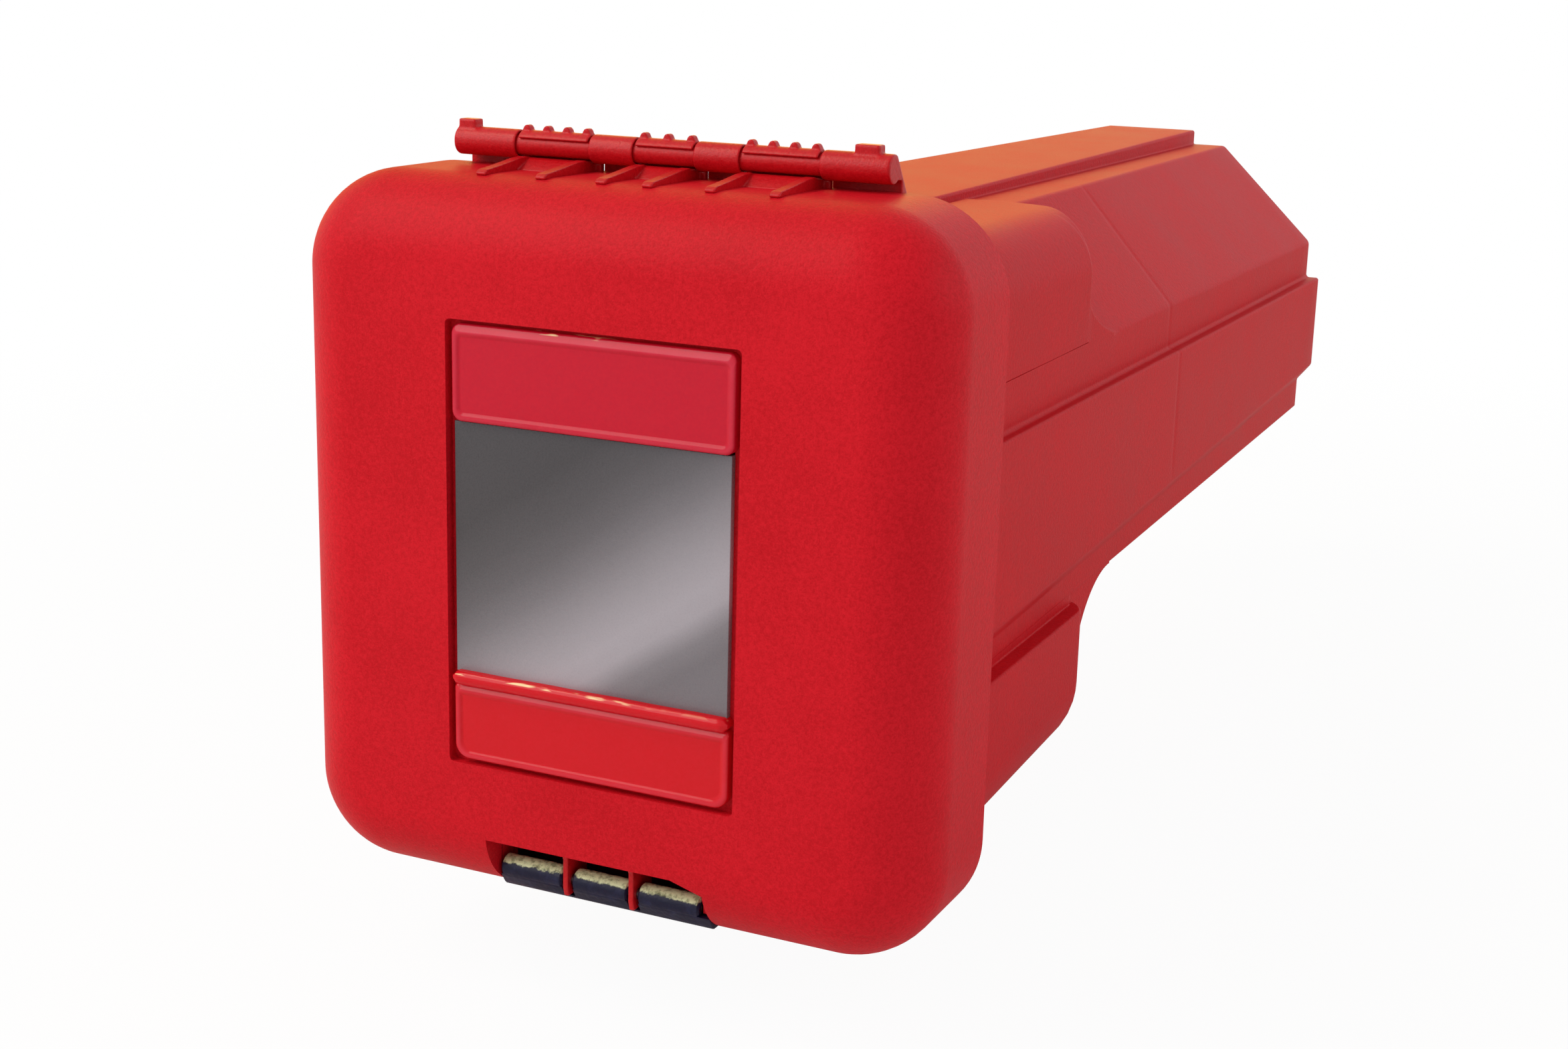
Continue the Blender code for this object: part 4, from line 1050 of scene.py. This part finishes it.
# Painted highlight: the rim crests, marked per point, are tinted pale pink.
crest = label_gloss.node("ShaderNodeAttribute", {"attribute_name": "crest"}, output=2)
mottling_and_highlight = label_gloss.blend(crest * (0.30 * ripple), mottling_and_highlight, (0.82, 0.12, 0.20))
shining = label_gloss.blend(glint, mottling_and_highlight, (0.95, 0.66, 0.34))
label_gloss.feed(Base_Color=shining, Roughness=0.16 + 0.10 * fleck)
label_gloss.feed(Normal=label_gloss.bump(ripple, 0.00045, normal=label_gloss.bump(fleck, 0.00002)))
for where, pad in PADS.items():
    rings = []
    for (inset, sunk), (top_inset, top_sunk) in RIM:
        outline = rounded_outline([
            (PAD_HALF - inset, pad["high"] - top_inset, max(pad["round_high"] - inset * 0.6, 1.0)),
            (PAD_HALF - inset, pad["low"] + inset, max(pad["round_low"] - inset * 0.6, 1.0)),
        ], 10)
        to_top = [1.0 - i / 10 for i in range(11)] + [0.0] * 22 + [i / 10 for i in range(11)]
        depths = [PAD_FRONT + sunk + (top_sunk - sunk) * up for up in to_top]
        rings.append([(x, y, z) for (x, z), y in zip(outline, depths)])
    label = solid(f"label_{where}", rings)
    crest_highlight_values = np.repeat(CREST_HIGHLIGHT, len(rings[0]))
    label.data.attributes.new("crest", "FLOAT", "POINT").data.foreach_set("value", crest_highlight_values)
    soften(label, 50)
    weigh_normals(label)
    paint(label, label_gloss.material)
    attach(label, "lid")
    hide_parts(f"label_pad_{where}")
bar_rings = []
for share in np.linspace(0.0, 1.0, 61):
    x = -PAD_HALF + 2 * PAD_HALF * share
    end = min(x + PAD_HALF, PAD_HALF - x)
    size = math.sqrt(max(1.0 - max(1.0 - end / 1.6, 0.0) ** 2, 0.12))
    size *= 1.0 + 0.02 * math.sin(23.0 * share)
    deep, half_high = size * BAR_DEEP, size * BAR_HIGH / 2
    turn = np.radians(np.linspace(90.0, 270.0, 19))
    middle = WINDOW_LOW - BAR_HIGH / 2
    front = [(BAR_Y + deep * math.cos(a), middle + half_high * math.sin(a)) for a in turn]
    section = [(PAD_BACK, front[0][1])] + front + [(PAD_BACK, front[-1][1])]
    bar_rings.append([(x, y, z) for y, z in section])
label_bead = solid("label_bead", bar_rings)
soften(label_bead, 50)
paint(label_bead, label_gloss.material)
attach(label_bead, "lid")
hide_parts("label_roll")

# Latch ribs and pin: two thin ribs moulded across the pocket, with hooked feet before the
# strap, and the plated pin through them that the latch turns on.
RIB_X = 14.4
RIB_WIDTH = 2.2
RIB_FRONT = LATCH_Y - BEAD - 0.6
PIN_BORE = 2.3
for where, centre in (("left", -RIB_X), ("right", RIB_X)):
    foot = LATCH_Z - 5.6
    profile = [
        (RIB_FRONT - 2.4, POCKET_TOP + 0.4), (RIB_FRONT, POCKET_TOP - 5.1),
        (RIB_FRONT, LATCH_Z - 2.0), (RIB_FRONT + 1.0, foot), (LATCH_Y, foot),
        (POCKET_BACK, LATCH_Z - 4.2), (POCKET_BACK, POCKET_TOP + 0.4),
    ]
    rib = prism(f"rib_{where}", profile, centre - RIB_WIDTH / 2, centre + RIB_WIDTH / 2)
    bore = cylinder("bore", (LATCH_Y, LATCH_Z), PIN_BORE, centre - OVERCUT, centre + OVERCUT, 24)
    combine(rib, "DIFFERENCE", bore)
    fuse(rib, [], voxel=0.0003, rounds=5, keep=0.4)
    paint(rib, hinge_red)
    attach(rib, "lid")
    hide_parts(f"latch_rib_{where}")
plated = Finish("plated_pin", Metallic=1.0)
streak = plated.noise(900.0, 2.0, 0.5)
drawn_steel = plated.blend(streak, (0.36, 0.36, 0.37), (0.52, 0.52, 0.53))
plated.feed(Base_Color=drawn_steel, Roughness=0.28 + 0.2 * streak)
plated.feed(Normal=plated.bump(streak, 0.00002))
cad["latch_pin"].material_slots[0].material = plated.material

# Latch: a black rubber strap under the lid's edge with three round beads between the ribs. The
# blue-black rubber has a painted highlight, a ragged pale band along the top of each bead.
BEADS = {"left": (-44.1, -16.75), "centre": (-12.05, 12.05), "right": (16.75, 43.0)}
STRAP_ENDS = (-44.3, 47.7)
STRAP_TOP = -136.0
STRAP_LOW = -139.0
STRAP_NOSE = [
    (9.9, -133.4), (10.6, -134.6), (11.4, -135.8), (12.1, -137.0),
    (12.9, -138.0), (13.6, -138.7), (14.4, STRAP_LOW), (16.0, STRAP_LOW),
]
SLOT_HALF = 2.35
rubber = Finish("black_rubber_skin", Specular_IOR_Level=0.22)
pits = rubber.noise(420.0, 3.0, 0.6)
dust = rubber.noise(150.0, 4.0, 0.65)
# Painted highlight: a ragged pale band high on each bead and towards its front, painted into the colour.
depth = (rubber.axis(1) - (0.001 * LATCH_Y + DATUM.y)) * (1000.0 / BEAD)
height = (rubber.axis(2) - (0.001 * LATCH_Z + DATUM.z)) * (1000.0 / BEAD)
ragged = (dust - 0.5) * 0.5 + (pits - 0.5) * 0.3
painted_highlight = rubber.span(height * 0.94 - depth * 0.34 + ragged, 0.76, 0.88)
glare_colour = rubber.blend(rubber.span(pits, 0.36, 0.56), (0.36, 0.42, 0.22), (0.74, 0.84, 0.50))
blue_black = rubber.blend(rubber.span(dust, 0.45, 0.7), (0.006, 0.007, 0.028), (0.015, 0.017, 0.055))
rubber.feed(Base_Color=rubber.blend(painted_highlight, blue_black, glare_colour), Roughness=0.30 + 0.25 * pits)
rubber.feed(Normal=rubber.bump(pits, 0.0003))
for where, (low, high) in BEADS.items():
    rings = []
    for share in np.linspace(0.0, 1.0, 33):
        x = low + (high - low) * share
        end = min(x - low, high - x)
        radius = BEAD * math.sqrt(max(1.0 - max(1.0 - end / 0.9, 0.0) ** 2 * 0.35, 0.4))
        rings.append([(x, y, z) for y, z in arc((LATCH_Y, LATCH_Z), radius, 0.0, 354.0, 59)])
    bead = solid(f"bead_{where}", rings)
    bore = cylinder("bore", (LATCH_Y, LATCH_Z), PIN_BORE, low - OVERCUT, high + OVERCUT, 24)
    combine(bead, "DIFFERENCE", bore)
    soften(bead, 40)
    paint(bead, rubber.material)
    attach(bead, "latch")
    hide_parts(f"latch_bead_{where}")
strap_tail = [(LID_DEPTH, STRAP_LOW), (LID_DEPTH, STRAP_TOP), (16.0, STRAP_TOP), (14.0, -133.4)]
strap = prism("strap", STRAP_NOSE + strap_tail, *STRAP_ENDS)
for centre in (-RIB_X, RIB_X):
    slot = box("slot", (centre - SLOT_HALF, centre + SLOT_HALF), (4.0, 23.0), (-137.3, -130.0))
    combine(strap, "DIFFERENCE", slot)
bevel(strap, 0.0005, 2, 35)
soften(strap, 40)
paint(strap, rubber.material)
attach(strap, "latch")
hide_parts("latch_strap")

# Studio: a pale floor just under the latch as it hangs open, soft lamps in front, to the right
# and warm from above and behind, and a white surround.
FLOOR_HALF = 6.0
FLOOR_DROP = 0.042
FLOOR_SHOWN = 0.95
GLOW_FROM = 0.5
GLOW_TO = 1.5
ROOM_LEVEL = 0.49
floor_z = cad_low.z - FLOOR_DROP
floor = from_faces("floor", [
    (-FLOOR_HALF, -FLOOR_HALF, floor_z), (FLOOR_HALF, -FLOOR_HALF, floor_z),
    (FLOOR_HALF, FLOOR_HALF, floor_z), (-FLOOR_HALF, FLOOR_HALF, floor_z),
], [(0, 1, 2, 3)])
floor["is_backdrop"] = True
pale = Finish("pale_floor", Base_Color=(0.86, 0.86, 0.86, 1.0), Roughness=0.9, Specular_IOR_Level=0.1)
away = pale.node("ShaderNodeVectorMath", {"operation": "LENGTH"}, {0: pale.place}, output="Value")
seen = pale.node("ShaderNodeLightPath", output="Is Camera Ray")
shown = pale.node("ShaderNodeMixShader", None, {
    0: seen * pale.span(away, GLOW_FROM, GLOW_TO, FLOOR_SHOWN, 1.0),
    1: Value(pale.tree, pale.shader.outputs[0]),
    2: pale.node("ShaderNodeEmission", None, {"Strength": 1.0}),
})
pale.join(shown, pale.tree.nodes["Material Output"].inputs["Surface"])
paint(floor, pale.material)

surround = bpy.data.worlds.new("surround")
surround.use_nodes = True
bpy.context.scene.world = surround
sky = Graph(surround.node_tree, "Generated")
rays = {
    name: sky.node("ShaderNodeLightPath", output=f"Is {name} Ray")
    for name in ("Camera", "Transmission", "Glossy")
}
direct = sky.either(rays["Camera"], rays["Transmission"])
mirrored = sky.either(direct, rays["Glossy"])
warm_wall = sky.span(sky.axis(0), -0.12, -0.30) * sky.span(sky.axis(1), 0.2, 0.6)
warmth = sky.blend(warm_wall * (1.0 - direct), (1.0, 1.0, 1.0), (1.0, 0.74, 0.24))
background = sky.tree.nodes["Background"]
sky.join(ROOM_LEVEL + (1.0 - ROOM_LEVEL) * mirrored, background.inputs["Strength"])
sky.join(warmth, background.inputs["Color"])

LAMPS = [
    ("key", (-1.8, -2.4, 1.6), 2.0, 47.0, (1.0, 0.97, 0.94)),
    ("right", (2.6, 0.4, 1.0), 1.6, 17.0, (1.0, 0.96, 0.97)),
    ("overhead", (-1.2, -1.1, 1.9), 0.7, 15.0, (1.0, 0.76, 0.60)),
    ("warm_back", (-1.3, 2.9, 0.85), 1.6, 11.0, (1.0, 0.66, 0.26)),
]
LAMP_AIM = Vector((0.0, -0.15, -0.1))
for name, place, size, power, colour in LAMPS:
    lamp = bpy.data.lights.new(name, "AREA")
    lamp.size = size
    lamp.energy = power
    lamp.color = colour
    holder = bpy.data.objects.new(name, lamp)
    bpy.context.scene.collection.objects.link(holder)
    holder.location = place
    holder.rotation_euler = (LAMP_AIM - Vector(place)).to_track_quat("-Z", "Y").to_euler()
    holder.visible_camera = False

# Camera: a normal lens to the right of and a little above the lid, turned by the three angles
# in degrees and placed in metres.
CAMERA_TURN = (24.92, 14.35, 1.53)
CAMERA_AT = (0.4003, -1.07465, 0.1036)
CAMERA_LENS = 51.82
yaw, pitch, roll = (math.radians(angle) for angle in CAMERA_TURN)
lens = bpy.data.cameras.new("camera")
lens.sensor_width = 36.0
lens.lens = CAMERA_LENS
camera = bpy.data.objects.new("camera", lens)
bpy.context.scene.collection.objects.link(camera)
tilted = Matrix.Rotation(math.pi / 2 - pitch, 4, "X") @ Matrix.Rotation(roll, 4, "Z")
camera.matrix_world = Matrix.Translation(CAMERA_AT) @ Matrix.Rotation(yaw, 4, "Z") @ tilted
bpy.context.scene.camera = camera
bpy.context.scene.view_settings.view_transform = "Standard"

low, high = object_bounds()
